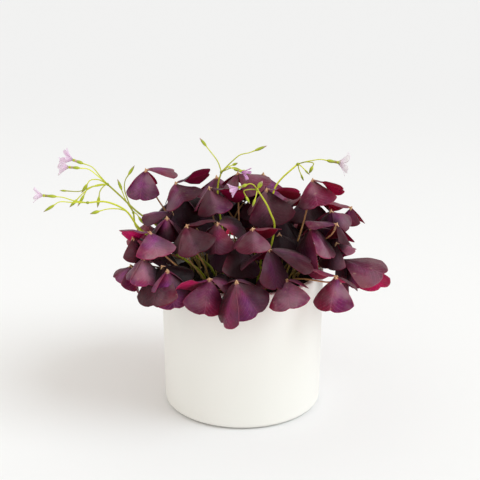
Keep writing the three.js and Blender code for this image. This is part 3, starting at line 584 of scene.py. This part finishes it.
class Graph:
    """A material's nodes, made from the surface backwards."""

    def __init__(self, name):
        self.material = bpy.data.materials.new(name)
        self.material.use_nodes = True
        self.tree = self.material.node_tree
        self.tree.nodes.clear()
        self.out = self.tree.nodes.new("ShaderNodeOutputMaterial")

    def node(self, kind, settings=None, **inputs):
        node = self.tree.nodes.new("ShaderNode" + kind)
        for key, value in (settings or {}).items():
            setattr(node, key, value)
        for key, value in inputs.items():
            self.link(value, node.inputs[key.replace("_", " ")])
        return node

    def link(self, value, socket):
        if isinstance(value, bpy.types.NodeSocket):
            self.tree.links.new(value, socket)
        else:
            socket.default_value = value

    def math(self, operation, *values):
        node = self.node("Math", {"operation": operation})
        for value, socket in zip(values, node.inputs):
            self.link(value, socket)
        return node.outputs[0]

    def plus(self, first, second):
        return self.math("ADD", first, second)

    def minus(self, first, second):
        return self.math("SUBTRACT", first, second)

    def times(self, first, second):
        return self.math("MULTIPLY", first, second)

    def remap(self, value, low, high, to_low=0, to_high=1):
        return self.node(
            "MapRange", {"interpolation_type": "SMOOTHSTEP"},
            Value=value, From_Min=low, From_Max=high, To_Min=to_low, To_Max=to_high,
        ).outputs[0]

    def mix(self, share, first, second, blend="MIX"):
        node = self.node("Mix", {"data_type": "RGBA", "blend_type": blend, "clamp_factor": True})
        for socket, value in ((0, share), (6, first), (7, second)):
            self.link(value, node.inputs[socket])
        return node.outputs[2]

    def dimmed(self, base, level):
        grey = self.node("CombineColor", Red=level, Green=level, Blue=level)
        return self.mix(1, base, grey.outputs[0], "MULTIPLY")

    def attribute(self, name):
        node = self.node("Attribute", {"attribute_type": "GEOMETRY", "attribute_name": name})
        return self.node("SeparateXYZ", Vector=node.outputs["Vector"]).outputs

    # Painted shade: how open the crown is at the point, as a factor that darkens colour inside it.
    def daylight(self, inside, outside):
        node = self.node("Attribute", {"attribute_type": "GEOMETRY", "attribute_name": "tone"})
        return self.remap(node.outputs["Alpha"], 0, 1, inside, outside)

    def object_place(self):
        return self.node("TexCoord").outputs["Object"]

    def noise(self, scale, detail=3, roughness=0.5):
        node = self.node("TexNoise", Scale=scale, Detail=detail, Roughness=roughness)
        self.link(self.object_place(), node.inputs["Vector"])
        return node.outputs["Fac"]

    def tint(self, base, share, most, *values):
        """The base with a colour mixed in, by share times most."""
        return self.mix(self.times(share, most), base, colour(*values))

    def cloud(self, low, high, scale, detail=3, roughness=0.5):
        """Noise, stretched between two of its levels."""
        return self.remap(self.noise(scale, detail, roughness), low, high)

    def bump(self, height, strength, distance, normal=None):
        node = self.node("Bump", Strength=strength, Distance=distance, Height=height)
        if normal is not None:
            self.link(normal, node.inputs["Normal"])
        return node.outputs["Normal"]

    def surface(self, base, roughness, normal=None, translucent=None, share=0, **fixed):
        node = self.node("BsdfPrincipled", Base_Color=base, Roughness=roughness, **fixed)
        if normal is not None:
            self.link(normal, node.inputs["Normal"])
        shader = node.outputs[0]
        if translucent is not None:
            glow = self.node("BsdfTranslucent", Color=translucent)
            mixed = self.node("MixShader")
            for socket, value in zip(mixed.inputs, (share, shader, glow.outputs[0])):
                self.link(value, socket)
            shader = mixed.outputs[0]
        self.link(shader, self.out.inputs["Surface"])
        return self.material


def leaf_veins(g):
    """Height of the veins over a blade whose place holds (along, across, nearness to the margin)."""
    along, across, _ = g.attribute("place")
    off = g.math("ABSOLUTE", across)
    midrib = g.remap(off, 0, 0.035, 1, 0)
    wander = g.times(g.minus(g.noise(160, 2), 0.5), 0.05)
    run = g.plus(g.minus(along, g.times(off, 0.42)), wander)
    phase = g.math("FRACT", g.times(run, 9))
    side = g.remap(g.math("ABSOLUTE", g.minus(phase, 0.5)), 0, 0.13, 1, 0)
    fade = g.remap(off, 0.85, 0.3, 0.15, 0.8)
    return g.math("MAXIMUM", midrib, g.times(side, fade))


def leaf_top():
    """Wine to violet, mottled, with a painted grey sheen where it faces the sky, and painted shade inside
    the crown.
    """
    g = Graph("leaf_top")
    hue, light, age = g.attribute("tone")
    along, across, margin = g.attribute("place")
    dark = g.mix(hue, colour(70, 16, 52), colour(98, 24, 44))
    violet = g.mix(hue, colour(128, 50, 122), colour(120, 52, 78))
    heart = g.times(g.remap(along, 0.05, 0.4), g.remap(along, 1, 0.5))
    heart = g.times(heart, g.remap(g.math("ABSOLUTE", across), 1, 0.2))
    blotch = g.cloud(0.34, 0.68, 48, 4, 0.6)
    base = g.mix(g.plus(g.times(heart, 0.45), g.times(blotch, 0.4)), dark, violet)
    wine = g.cloud(0.42, 0.62, 34, 2, 0.5)
    base = g.tint(base, wine, 0.55, 124, 28, 50)
    patch = g.cloud(0.46, 0.7, 95, 4, 0.65)
    base = g.tint(base, patch, 0.6, 50, 14, 30)
    mottle = g.cloud(0.3, 0.75, 900, 3, 0.7)
    base = g.tint(base, mottle, 0.36, 50, 16, 28)
    vein = leaf_veins(g)
    base = g.tint(base, vein, 0.34, 146, 84, 112)
    rim = g.remap(margin, 0.035, 0)
    base = g.tint(base, rim, 0.45, 150, 44, 74)
    worn = g.times(g.cloud(0.64, 0.74, 240, 3, 0.6), age)
    base = g.tint(base, worn, 0.6, 150, 116, 96)
    base = g.mix(g.remap(along, 0.1, 0.02), base, colour(206, 150, 104))
    # Painted sheen: a grey-lilac highlight painted on the blade where its normal faces the sky.
    upward = g.node("SeparateXYZ", Vector=g.node("NewGeometry").outputs["Normal"]).outputs[2]
    painted_sky_sheen = g.times(g.remap(upward, 0.15, 0.9), g.cloud(0.36, 0.64, 60, 3))
    painted_sky_sheen = g.times(painted_sky_sheen, g.remap(upward, 0.55, 0.95, 1, 0.4))
    base = g.tint(base, painted_sky_sheen, 0.58, 142, 120, 124)
    # Painted shade: daylight dims the colour inside the crown; light is each leaflet's random brightness.
    base = g.dimmed(base, g.times(g.plus(0.42, g.times(light, 1.4)), g.daylight(0.16, 1.08)))
    height = g.plus(g.times(vein, -0.6), g.times(g.noise(420, 3), 0.9))
    crinkle = g.bump(g.noise(150, 3, 0.55), 0.4, 0.0022)
    normal = g.bump(height, 0.4, 0.0006, crinkle)
    rough = g.remap(g.noise(700, 2), 0.3, 0.7, 0.38, 0.56)
    glow = g.mix(0.5, base, colour(180, 16, 66))
    return g.surface(base, rough, normal, glow, 0.16, Specular_IOR_Level=0.16, Sheen_Weight=0.03)


def leaf_under():
    """Crimson to magenta, which shines through the blade, with painted shade inside the crown."""
    g = Graph("leaf_under")
    hue, light, _ = g.attribute("tone")
    along, _, margin = g.attribute("place")
    base = g.mix(hue, colour(206, 18, 104), colour(172, 18, 50))
    base = g.tint(base, g.cloud(0.35, 0.7, 70, 3), 0.5, 112, 12, 40)
    vein = leaf_veins(g)
    base = g.tint(base, vein, 0.4, 196, 90, 120)
    base = g.tint(base, g.remap(margin, 0.05, 0), 0.5, 186, 96, 120)
    base = g.mix(g.remap(along, 0.12, 0.02), base, colour(206, 150, 104))
    # Painted shade: the colour is dimmed inside the crown by its daylight.
    base = g.dimmed(base, g.times(g.plus(1, g.times(light, 0.9)), g.daylight(0.3, 1.05)))
    normal = g.bump(g.plus(vein, g.times(g.noise(500, 3), 0.4)), 0.4, 0.0006)
    glow = g.mix(0.5, base, colour(235, 25, 95))
    return g.surface(base, 0.55, normal, glow, 0.5, Specular_IOR_Level=0.2, Sheen_Weight=0.04)


def stalk_skin(name, low, high, tip):
    """Stalks: place holds the share of the way from the root to the tip."""
    g = Graph(name)
    share = g.attribute("place")[0]
    hue, light, _ = g.attribute("tone")
    base = g.mix(g.remap(share, 0, 0.75), low, high)
    base = g.mix(g.remap(share, 0.8, 1), base, tip)
    streak = g.cloud(0.35, 0.7, 600, 3, 0.6)
    base = g.mix(g.times(streak, g.times(hue, 0.6)), base, tip)
    base = g.dimmed(base, g.plus(0.6, g.times(light, 0.8)))
    normal = g.bump(g.noise(1500, 2), 0.25, 0.0003)
    return g.surface(base, 0.42, normal, base, 0.12, Specular_IOR_Level=0.45)


def bud_skin():
    g = Graph("bud")
    share, _, ridge = g.attribute("place")
    hue = g.attribute("tone")[0]
    base = g.mix(g.remap(share, 0, 0.7), colour(204, 214, 44), colour(168, 186, 34))
    tipped = g.mix(hue, colour(150, 108, 54), colour(214, 150, 190))
    base = g.mix(g.remap(share, 0.62, 0.98), base, tipped)
    base = g.tint(base, g.remap(ridge, 0.3, 1), 0.5, 196, 204, 96)
    base = g.tint(base, g.cloud(0.55, 0.7, 1200, 3), 0.4, 126, 100, 46)
    normal = g.bump(g.noise(1800, 2), 0.25, 0.0003)
    return g.surface(base, 0.45, normal, base, 0.15)


def petal_skin():
    g = Graph("petal")
    along, across, margin = g.attribute("place")
    pink = g.attribute("tone")[0]
    base = g.mix(g.remap(along, 0.1, 0.8), colour(248, 234, 246), colour(255, 253, 255))
    base = g.mix(pink, base, g.mix(g.remap(along, 0.1, 0.9), colour(224, 138, 218), colour(244, 190, 238)))
    off = g.math("ABSOLUTE", across)
    phase = g.math("FRACT", g.times(off, 5))
    line = g.remap(g.math("ABSOLUTE", g.minus(phase, 0.5)), 0, 0.12, 1, 0)
    line = g.times(line, g.remap(along, 0.95, 0.35))
    base = g.mix(g.times(line, g.plus(0.1, g.times(pink, 0.3))), base, colour(196, 130, 196))
    base = g.mix(g.remap(along, 0.3, 0.08), base, colour(206, 214, 120))
    base = g.tint(base, g.remap(margin, 0.08, 0), 0.5, 252, 240, 250)
    normal = g.bump(g.plus(g.times(line, 0.5), g.noise(1400, 2)), 0.3, 0.0003)
    return g.surface(base, 0.5, normal, base, 0.5, Sheen_Weight=0.1)


def pollen():
    g = Graph("pollen")
    base = g.mix(g.cloud(0.35, 0.65, 3000), colour(238, 206, 88), colour(206, 160, 50))
    return g.surface(base, 0.7, g.bump(g.noise(4000), 0.5, 0.0003))


def knuckle_skin():
    g = Graph("knuckle")
    base = g.mix(g.cloud(0.3, 0.7, 800, 3), colour(230, 192, 148), colour(192, 136, 98))
    return g.surface(base, 0.5, g.bump(g.noise(1500, 2), 0.3, 0.0003), base, 0.15)


def glaze():
    g = Graph("glaze")
    base = g.mix(g.cloud(0.3, 0.7, 9, 2), colour(245, 244, 239), colour(241, 240, 234))
    base = g.tint(base, g.cloud(0.72, 0.8, 420, 2, 0.4), 0.15, 222, 220, 214)
    grain = g.bump(g.noise(900, 2), 0.08, 0.0002)
    normal = g.bump(g.noise(38, 2, 0.4), 0.12, 0.0012, grain)
    rough = g.remap(g.noise(120, 3), 0.3, 0.7, 0.4, 0.52)
    return g.surface(base, rough, normal, Specular_IOR_Level=0.5, Coat_Weight=0.08, Coat_Roughness=0.35)


def earth():
    g = Graph("earth")
    base = g.mix(g.cloud(0.35, 0.65, 300, 5, 0.7), colour(44, 33, 26), colour(24, 18, 15))
    base = g.mix(g.cloud(0.66, 0.74, 1100, 3), base, colour(92, 72, 54))
    normal = g.bump(g.noise(700, 6, 0.75), 0.9, 0.002)
    return g.surface(base, 0.95, normal, Specular_IOR_Level=0.2)


def grit():
    g = Graph("grit")
    light = g.attribute("tone")[1]
    base = g.mix(light, colour(36, 27, 21), colour(88, 68, 50))
    return g.surface(base, 0.95, g.bump(g.noise(1500, 4, 0.7), 0.8, 0.001), Specular_IOR_Level=0.2)


def floor_skin():
    g = Graph("floor")
    base = g.mix(g.cloud(0.3, 0.7, 1.2, 2), colour(243, 243, 243), colour(241, 241, 241))
    # Painted shade: the floor's colour darkens further back from the camera.
    depth = g.node("SeparateXYZ", Vector=g.object_place()).outputs[1]
    base = g.mix(g.remap(depth, -0.1, 1.2), base, colour(231, 231, 232))
    return g.surface(base, 0.85, Specular_IOR_Level=0.05)


MATERIALS = {
    "leaf_top": leaf_top(),
    "leaf_under": leaf_under(),
    "petiole": stalk_skin("petiole", colour(150, 140, 66), colour(196, 142, 96), colour(214, 160, 116)),
    "scape": stalk_skin("scape", colour(156, 172, 34), colour(212, 216, 52), colour(232, 234, 92)),
    "knuckle": knuckle_skin(),
    "bud": bud_skin(),
    "petal": petal_skin(),
    "pollen": pollen(),
    "glaze": glaze(),
    "earth": earth(),
    "grit": grit(),
    "floor": floor_skin(),
}


# Leaves

LEAFLET_ROWS = 15
LEAFLET_COLUMNS = 17
LEAF_SKIN = 0.42
LEAFLET_FOOT = 0.035
LEAFLET_ROUND = 0.61
LEAFLET_WIDTH = 1.02
CORNER_STARTS = 0.72
CORNER_CUT = 0.07
NOTCH_DEPTH, NOTCH_WIDTH = 0.06, 0.15
CREASE_DEPTH, CREASE_WIDTH = 0.8, 0.08
WAVE_LEAST = 0.45
PUFF = 0.5
WAVED_LENGTH = 34
MARGIN_THINS = 6
NECK_TAPER = ([-0.25, 0, 0.3, 1], [0.35, 1.0, 1.15, 0.85])
CLAW_RUNS = [-0.4, 1.1, 2.8]
CLAW_RADII = [0.8, 0.72, 0.4]
SEED_STEP, FIRST_SEED = 7919, 11
FIRST_DRAWS = 3
HUE_VARIETY = 0.4
LIGHT_VARIETY = 0.45
HALF_EDGE = 0.06
HALF_CONTRAST = 0.7
# Centre and reach of the painted shade that darkens leaves inside the crown.
CROWN_HEART = np.array([0, 8, 120])
COVER_REACH = 30
COVER_STARTS = 0.35
COVER_RANGE = 1.5


def leaflet_grid(blade, draw):
    """A leaflet's fine grid: obtriangular, with a small notch at the end and a gently waved margin."""
    shares = 1 - (1 - np.linspace(0, 1, LEAFLET_ROWS)) ** 1.25
    shares = LEAFLET_FOOT + (1 - LEAFLET_FOOT) * shares
    sides = np.sin(np.linspace(-1, 1, LEAFLET_COLUMNS) * math.pi / 2)
    s, t = np.meshgrid(shares, sides, indexing="ij")
    corner = np.maximum(0, np.abs(t) - CORNER_STARTS) / (1 - CORNER_STARTS)
    reach = np.sqrt(1 - (LEAFLET_ROUND * t) ** 2) - CORNER_CUT * corner ** 2
    reach -= NOTCH_DEPTH * np.exp(-(t / NOTCH_WIDTH) ** 2)
    width = LEAFLET_WIDTH * (1 - (1 - s) ** 1.4)
    grid = blade_points(blade, s * reach, np.abs(t) * width, np.where(t < 0, -1, 1))
    wave, phase = WAVE_LEAST + 0.5 * draw(), draw() * FULL_TURN
    ripple = np.sin(t * 5.5 + phase) * wave * s ** 2 * 0.8
    ripple += np.sin(s * 7 + t * 3 + phase * 1.7) * 0.22
    puffed = PUFF * np.sin(np.minimum(1, np.abs(t) * 1.15) * math.pi) * np.sin(s * math.pi)
    crease = -CREASE_DEPTH * np.exp(-(t / CREASE_WIDTH) ** 2) * (1 - s * 0.5)
    lift = (ripple + puffed + crease) * blade[0] / WAVED_LENGTH
    return with_margin(grid + grid_normals(grid) * lift[..., None], s, t, LEAF_SKIN, 0.5)


def with_margin(grid, s, t, skin, least):
    """The grid, its place (along, across, nearness to the margin) and its thickness."""
    margin = np.minimum(1 - np.abs(t), 1 - s)
    thick = skin * (least + (1 - least) * np.minimum(1, margin * MARGIN_THINS))
    return grid, np.stack([s, t, margin], -1), thick


# Painted shade: the leaf materials darken their colour by this, so the crown's inside is painted dark.
def daylight(points):
    """How open the crown is above and outside each point, from 0 for its dark inside to 1."""
    centres = np.array([
        leaf["hub"] + blade_points(blade, 0.6, 0, 1) for leaf in LEAVES for blade in leaf["blades"]
    ])
    outward = points - CROWN_HEART
    outward /= np.linalg.norm(outward, axis=1)[:, None]
    apart = centres[None] - points[:, None]
    reach = np.linalg.norm(apart, axis=2)
    facing = np.einsum("pck,pk->pc", apart, outward) / np.maximum(reach, 1)
    cover = (np.exp(-(reach / COVER_REACH) ** 2) * np.maximum(0, facing)).sum(1)
    return 1 - np.clip((cover - COVER_STARTS) / COVER_RANGE, 0, 1)


def dress_leaf(leaf):
    """A leaf's blades with their tone (hue, light, age and the daylight that sets their painted shade),
    its neck and the blades' claws.
    """
    hub = leaf["hub"]
    draw = seeded(leaf["number"] * SEED_STEP + FIRST_SEED)
    for _ in range(FIRST_DRAWS):
        draw()
    build = Build()
    hue, light = draw(), draw()
    for blade in leaf["blades"]:
        grid, place, thick = leaflet_grid(blade, draw)
        grid = grid + hub
        half = np.tanh(place[..., 1] / HALF_EDGE)
        blade_hue = hue + HUE_VARIETY * (draw() - 0.5)
        blade_light = light + LIGHT_VARIETY * (draw() - 0.5)
        age, contrast = draw(), HALF_CONTRAST * (draw() - 0.5)
        tone = np.stack([
            np.clip(blade_hue + contrast * half, 0, 1),
            np.clip(blade_light - contrast * half, 0, 1),
            np.full(half.shape, age),
            daylight(grid.reshape(-1, 3)).reshape(half.shape),
        ], -1)
        sheet(grid, thick, place, tone, build, kinds=(0, 1, 0))
    steps = np.linspace(-0.25, 1, 7)
    runs = steps * (NECK_LENGTH + SEAT_GAP)
    add_bead(build, hub, neck_direction(hub), runs, np.interp(steps, *NECK_TAPER), 10, kind=2)
    for blade in leaf["blades"]:
        foot, tip = (hub + blade_points(blade, along, 0, 1) for along in (0.0, 0.1))
        add_bead(build, foot, unit(tip - foot), CLAW_RUNS, CLAW_RADII, 8, kind=2)
    materials = ["leaf_top", "leaf_under", "knuckle"]
    build.finish("leaf_%02d_fine" % leaf["number"], materials, "leaf", *leaf["nodes"])


LEAVES = settled_leaves()
for leaf in LEAVES:
    dress_leaf(leaf)

# Petioles: slim stalks from the rhizomes to the necks

PETIOLE_TAPER = ([0, 0.1, 0.8, 1], [1.1, 0.9, 0.75, 0.88])

build = Build()
draw = seeded(99)
for leaf in LEAVES:
    path = bezier(leaf["petiole"], np.linspace(0, 1, 26))
    add_stalk(build, path, PETIOLE_RADIUS, PETIOLE_TAPER, 9, (draw(), draw(), draw(), 1))
build.finish("petioles_fine", ["petiole"], "petiole", "petioles")

# Scapes with their pedicels and buds

BUD_ROWS = 12
BUD_SIDES = 15
SEPALS = 5
SCAPE_TAPER = ([0, 1], [0.98, 0.72])
PEDICEL_TAPER = ([0, 0.8, 1], [0.9, 0.72, 0.95])
JOINT_RUNS = [-1.4, 0, 1.0]
JOINT_RADII = [0.9, 1.35, 0.7]
BUD_SUNK = 0.4


def spindle(base, axis, length, radius, hue, build, kind, open_end=False):
    """A bud or calyx: five pointed sepals folded round each other, so its section has five soft ridges."""
    axis = unit(axis)
    side = unit(np.cross(axis, OFF_AXIS))
    other = np.cross(axis, side)
    points, place = [], []
    for share in np.linspace(0, 1, BUD_ROWS):
        swell = math.sin(math.pi * min(1, 0.06 + share * 0.94) ** 0.75) ** 0.8 if share < 1 else 0.05
        swell = max(swell, 0.45 * (1 - share * 2.5), 0.09)
        if open_end:
            swell = max(swell, 0.75 if share > 0.5 else 0)
        for turn in turns(BUD_SIDES):
            ridge = 0.5 + 0.5 * math.cos(SEPALS * turn + share * 1.2)
            r = radius * swell * (0.9 + 0.13 * ridge)
            out = r * (math.cos(turn) * side + math.sin(turn) * other)
            points.append(base + axis * length * share + out)
            place.append((share, 0, ridge))
    build.add(points, barrel_faces(BUD_ROWS, BUD_SIDES), kind, (hue, 0.5, 0.5, 1), place)


draw = seeded(2024)
bloom_seats = {}
for number, (stem, umbel) in enumerate(SCAPES):
    build = Build()
    path = smooth_path(stem, 6)
    add_stalk(build, path, STALK_RADIUS, SCAPE_TAPER, 10, (0.3, draw(), draw(), 1), reach=(0, 0.8))
    add_bead(build, path[-1], unit(path[-1] - path[-2]), JOINT_RUNS, JOINT_RADII, 10, kind=0)
    for k, (joint, route, length, radius) in enumerate(umbel):
        path = smooth_path([stem[joint], *route], 5)
        tone = (draw(), draw(), draw(), 1)
        add_stalk(build, path, PEDICEL_RADIUS, PEDICEL_TAPER, 8, tone, reach=(0.4, 0.8))
        axis = unit(path[-1] - path[-2])
        bloom = next((b for b in BLOOMS if b[:2] == (number, k)), None)
        base = path[-1] - axis * BUD_SUNK
        if bloom:
            spindle(base, axis, length + BUD_SUNK, radius, draw(), build, 1, open_end=True)
            bloom_seats[bloom] = (path[-1], axis, length, radius)
        else:
            spindle(base, axis, length, radius, draw(), build, 1)
    build.finish("scape_%d_fine" % (number + 1), ["scape", "bud"], "scape", "scape_%d" % (number + 1))

# Blooms: five petals in a funnel, with a greenish throat and stamens

PETAL_ROWS = 13
PETAL_COLUMNS = 11
PETALS = 5
PETAL_SKIN = 0.3
FUNNEL_DROOP = -105
SEAT_SHARE = 0.6
THROAT_RADII = [0.7, 1.1, 1.25, 0.5]
STAMEN_RADII = [0.18, 0.15, 0.14]
ANTHER_RUNS = [-0.5, 0, 0.6]
ANTHER_RADII = [0.2, 0.42, 0.2]


def petal_grid(blade, draw):
    shares = np.linspace(0.03, 1, PETAL_ROWS)
    s, t = np.meshgrid(shares, np.linspace(-1, 1, PETAL_COLUMNS), indexing="ij")
    along = s * (0.82 + 0.18 * np.sqrt(np.maximum(0, 1 - np.abs(t) ** 2.6)))
    width = 0.16 + 0.9 * (1 - (1 - s) ** 1.7)
    grid = blade_points(blade, along, np.abs(t) * width, np.where(t < 0, -1, 1))
    phase = draw() * FULL_TURN
    ripple = 0.35 * np.sin(t * 4 + phase) * s ** 2 - 0.25 * np.exp(-(t / 0.12) ** 2) * s
    grid = grid + grid_normals(grid) * ripple[..., None] * blade[0] / 14
    return with_margin(grid, s, t, PETAL_SKIN, 0.6)


def turned(points, axis, seat):
    towards = Vector((0, 0, 1)).rotation_difference(Vector(axis)).to_matrix()
    return np.asarray(points) @ np.array(towards).T + seat


for number, bloom in enumerate(BLOOMS, 1):
    length, spread, pink = bloom[2:]
    end, axis, calyx, radius = bloom_seats[bloom]
    base = end + axis * (calyx - radius * SEAT_SHARE - SEAT_GAP)
    seat = end + axis * (calyx - radius * SEAT_SHARE + SEAT_GAP + 1)
    droop = spread + FUNNEL_DROOP
    half = length * max(0.1, 0.42 * math.cos(math.radians(droop)))
    build = Build()
    for turn in range(0, 360, 360 // PETALS):
        wider = 1 + 0.08 * (draw() - 0.5)
        blade = (length * wider, half * wider, droop, 0, 30, -8, 0, turn + 6 * (draw() - 0.5))
        grid, place, thick = petal_grid(blade, draw)
        grid[..., 2] += 0.125 * math.sin(math.radians(turn))
        grid = turned(grid.reshape(-1, 3), axis, seat).reshape(grid.shape)
        sheet(grid, thick, place, (pink, draw(), draw(), 1), build, kinds=(0, 0, 0))
    throat = [base, base + axis * 1.2, seat + axis * 0.8, seat + axis * 1.6]
    build.add(*tube(throat, THROAT_RADII, 10), kind=1, place=(0.1, 0, 0))
    for turn in turns(PETALS):
        turn += 0.6
        foot, tip = turned([polar(0.5, turn, 0.6), polar(1, turn, length * 0.34)], axis, seat)
        build.add(*tube([foot, (foot + tip) / 2, tip], STAMEN_RADII, 6), kind=1, place=(0.2, 0, 0))
        add_bead(build, tip, axis, ANTHER_RUNS, ANTHER_RADII, 7, kind=2)
    build.finish("bloom_%d_fine" % number, ["petal", "bud", "pollen"], "petal", "bloom_%d" % number)

# Rhizomes: the knobbly mat the stalks grow from

RHIZOMES = 26
RHIZOME_SPREAD = 42
RHIZOME_RINGS = 9

build = Build()
draw = seeded(31)
for _ in range(RHIZOMES):
    turn = draw() * FULL_TURN
    far = RHIZOME_SPREAD * math.sqrt(draw())
    middle = polar(far, turn, SOIL_TOP + 2.4 - far * 0.045)
    way = draw() * FULL_TURN
    length, width = 6 + 6 * draw(), 1.8 + 1.4 * draw()
    path, radii = [], []
    for k in range(RHIZOME_RINGS):
        share = k / (RHIZOME_RINGS - 1) - 0.5
        arch = 1.2 * math.cos(share * 3) + 0.3 * (draw() - 0.5) - 1
        path.append(middle + polar(length * share, way, arch))
        radii.append(width * math.sqrt(max(0.08, 1 - (2 * share) ** 2)) * (0.88 + 0.24 * (k % 2)))
    build.add(*tube(path, radii, 9), 0, (draw(), draw() * 0.4, draw(), 1), (0.3, 0, 0))
build.finish("rhizomes_fine", ["knuckle"], "petiole", "petioles")

# Pot: a glazed cylinder with a softly rounded rim and foot

POT_SIDES = 144
FOOT_RING = 1


def quarter(centre, radius, first, last, steps):
    """A round corner's points, between two angles in degrees."""
    angles = np.radians(np.linspace(first, last, steps))
    return [(centre[0] + radius * math.cos(a), centre[1] + radius * math.sin(a)) for a in angles]


inner_top, inner_foot = POT_TOP_RADIUS - POT_WALL, POT_FOOT_RADIUS - POT_WALL
foot = POT_FOOT_RADIUS - FOOT_ROUNDING
wall_foot, wall_top = FOOT_ROUNDING + FOOT_RING, POT_HEIGHT - RIM_ROUNDING
profile = [(30, 0), (foot - 1.6, 0), (foot - 1.3, 0.3), (foot - 1.3, 0.9), (foot - 0.4, FOOT_RING)]
profile += quarter((foot, wall_foot), FOOT_ROUNDING, -86, 0, 9)
for share in np.linspace(0.02, 1, 22):
    radius = POT_FOOT_RADIUS + (POT_TOP_RADIUS - POT_FOOT_RADIUS) * share
    profile.append((radius, wall_foot + (wall_top - wall_foot) * share))
profile += quarter((POT_TOP_RADIUS - RIM_ROUNDING, wall_top), RIM_ROUNDING, 15, 90, 7)
profile += quarter((inner_top + RIM_ROUNDING, wall_top), RIM_ROUNDING, 90, 180, 7)
profile += [(inner_top - 0.1, POT_HEIGHT - 6), (inner_top - 0.4, 100)]
profile += [(inner_foot, POT_FLOOR + 2), (inner_foot - 2, POT_FLOOR), (30, POT_FLOOR)]
points = [polar(0, 0, 0)]
points += [polar(radius, turn, height) for radius, height in profile for turn in turns(POT_SIDES)]
points.append(polar(0, 0, POT_FLOOR))
build = Build()
build.add(points, pointed_faces(len(profile), POT_SIDES))
build.finish("pot_fine", ["glaze"], "pot", "pot")

# Soil: an uneven mound with crumbs on it

SOIL_SIDES = 120
SOIL_RINGS = 44
SOIL_FOOT = 98
CRUMBS = 420
CRUMB_CORNERS = [way * axis for axis in np.eye(3) for way in (1, -1)]
CRUMB_FACES = [(0, 2, 4), (2, 1, 4), (1, 3, 4), (3, 0, 4), (2, 0, 5), (1, 2, 5), (3, 1, 5), (0, 3, 5)]
soil_radius = inner_top - 0.5


def soil_height(x, y):
    far = min(1, math.hypot(x, y) / soil_radius)
    base = SOIL_TOP + SOIL_CROWNING * (1 - far ** 2)
    rough = noise.fractal(Vector((x * 0.11, y * 0.11, 3)), 0.6, 2.2, 4) * 1.5
    rough += noise.noise(Vector((x * 0.55, y * 0.55, 9))) * 0.9
    return base + rough * (1 - 0.4 * far ** 6)


points = [polar(0, 0, soil_height(0, 0))]
for ring in range(1, SOIL_RINGS + 1):
    for turn in turns(SOIL_SIDES):
        x, y, _ = polar(soil_radius * ring / SOIL_RINGS, turn)
        points.append([x, y, soil_height(x, y)])
points += [polar(soil_radius - 0.3, turn, SOIL_FOOT) for turn in turns(SOIL_SIDES)]
points.append(polar(0, 0, SOIL_FOOT))
build = Build()
build.add(points, [face[::-1] for face in pointed_faces(SOIL_RINGS + 1, SOIL_SIDES)])
draw = seeded(5)
for _ in range(CRUMBS):
    turn, far = draw() * FULL_TURN, (soil_radius - 2.5) * math.sqrt(draw())
    x, y, _ = polar(far, turn)
    size = 0.5 + 1.5 * draw() ** 2
    middle = np.array([x, y, soil_height(x, y) + size * 0.25])
    lump = []
    for corner in CRUMB_CORNERS:
        lump.append(middle + corner * size * (0.7 + 0.6 * draw()) + 0.25 * size * (draw() - 0.5))
    build.add(lump, CRUMB_FACES, 1, (draw(), draw() ** 2, draw(), 1))
build.finish("soil_fine", ["earth", "grit"], "soil", "soil")

# Floor, light and camera

FLOOR = [(-6000, -4000, 0), (6000, -4000, 0), (6000, 9000, 0), (-6000, 9000, 0)]
SKY_COLOUR = (1, 0.966, 0.918, 1)
SKY_STRENGTH = 0.86
SUN_COLOUR = (0.83, 0.925, 1)
SUN_STRENGTH = 1.33
SUN_ANGLE = math.radians(38)
SUN_PLACE = (1600, -620, 1850)
SUN_AIM = (0, 0, 100)
CAMERA_SENSOR = 36
CAMERA_LENS = 104.745
CAMERA_PLACE = (-2.15, -1127.6, 557.6)
CAMERA_AIM = (-2.15, 0, 147.2)


def stand(name, data, place, aim):
    """A light or camera at its place, turned towards its aim."""
    obj = bpy.data.objects.new(name, data)
    obj.location = Vector(place) * MM
    obj.rotation_euler = (Vector(aim) * MM - obj.location).to_track_quat("-Z", "Y").to_euler()
    bpy.context.scene.collection.objects.link(obj)
    return obj


build = Build()
build.add(FLOOR, [[0, 1, 2, 3]])
build.make("floor", ["floor"])

world = bpy.data.worlds.new("studio")
world.use_nodes = True
sky = world.node_tree.nodes["Background"].inputs
sky["Color"].default_value = SKY_COLOUR
sky["Strength"].default_value = SKY_STRENGTH
bpy.context.scene.world = world

sun = bpy.data.lights.new("key", "SUN")
sun.energy = SUN_STRENGTH
sun.angle = SUN_ANGLE
sun.color = SUN_COLOUR
stand("key", sun, SUN_PLACE, SUN_AIM)

lens = bpy.data.cameras.new("camera")
lens.sensor_width = CAMERA_SENSOR
lens.lens = CAMERA_LENS
bpy.context.scene.camera = stand("camera", lens, CAMERA_PLACE, CAMERA_AIM)
bpy.context.scene.view_settings.view_transform = "Standard"
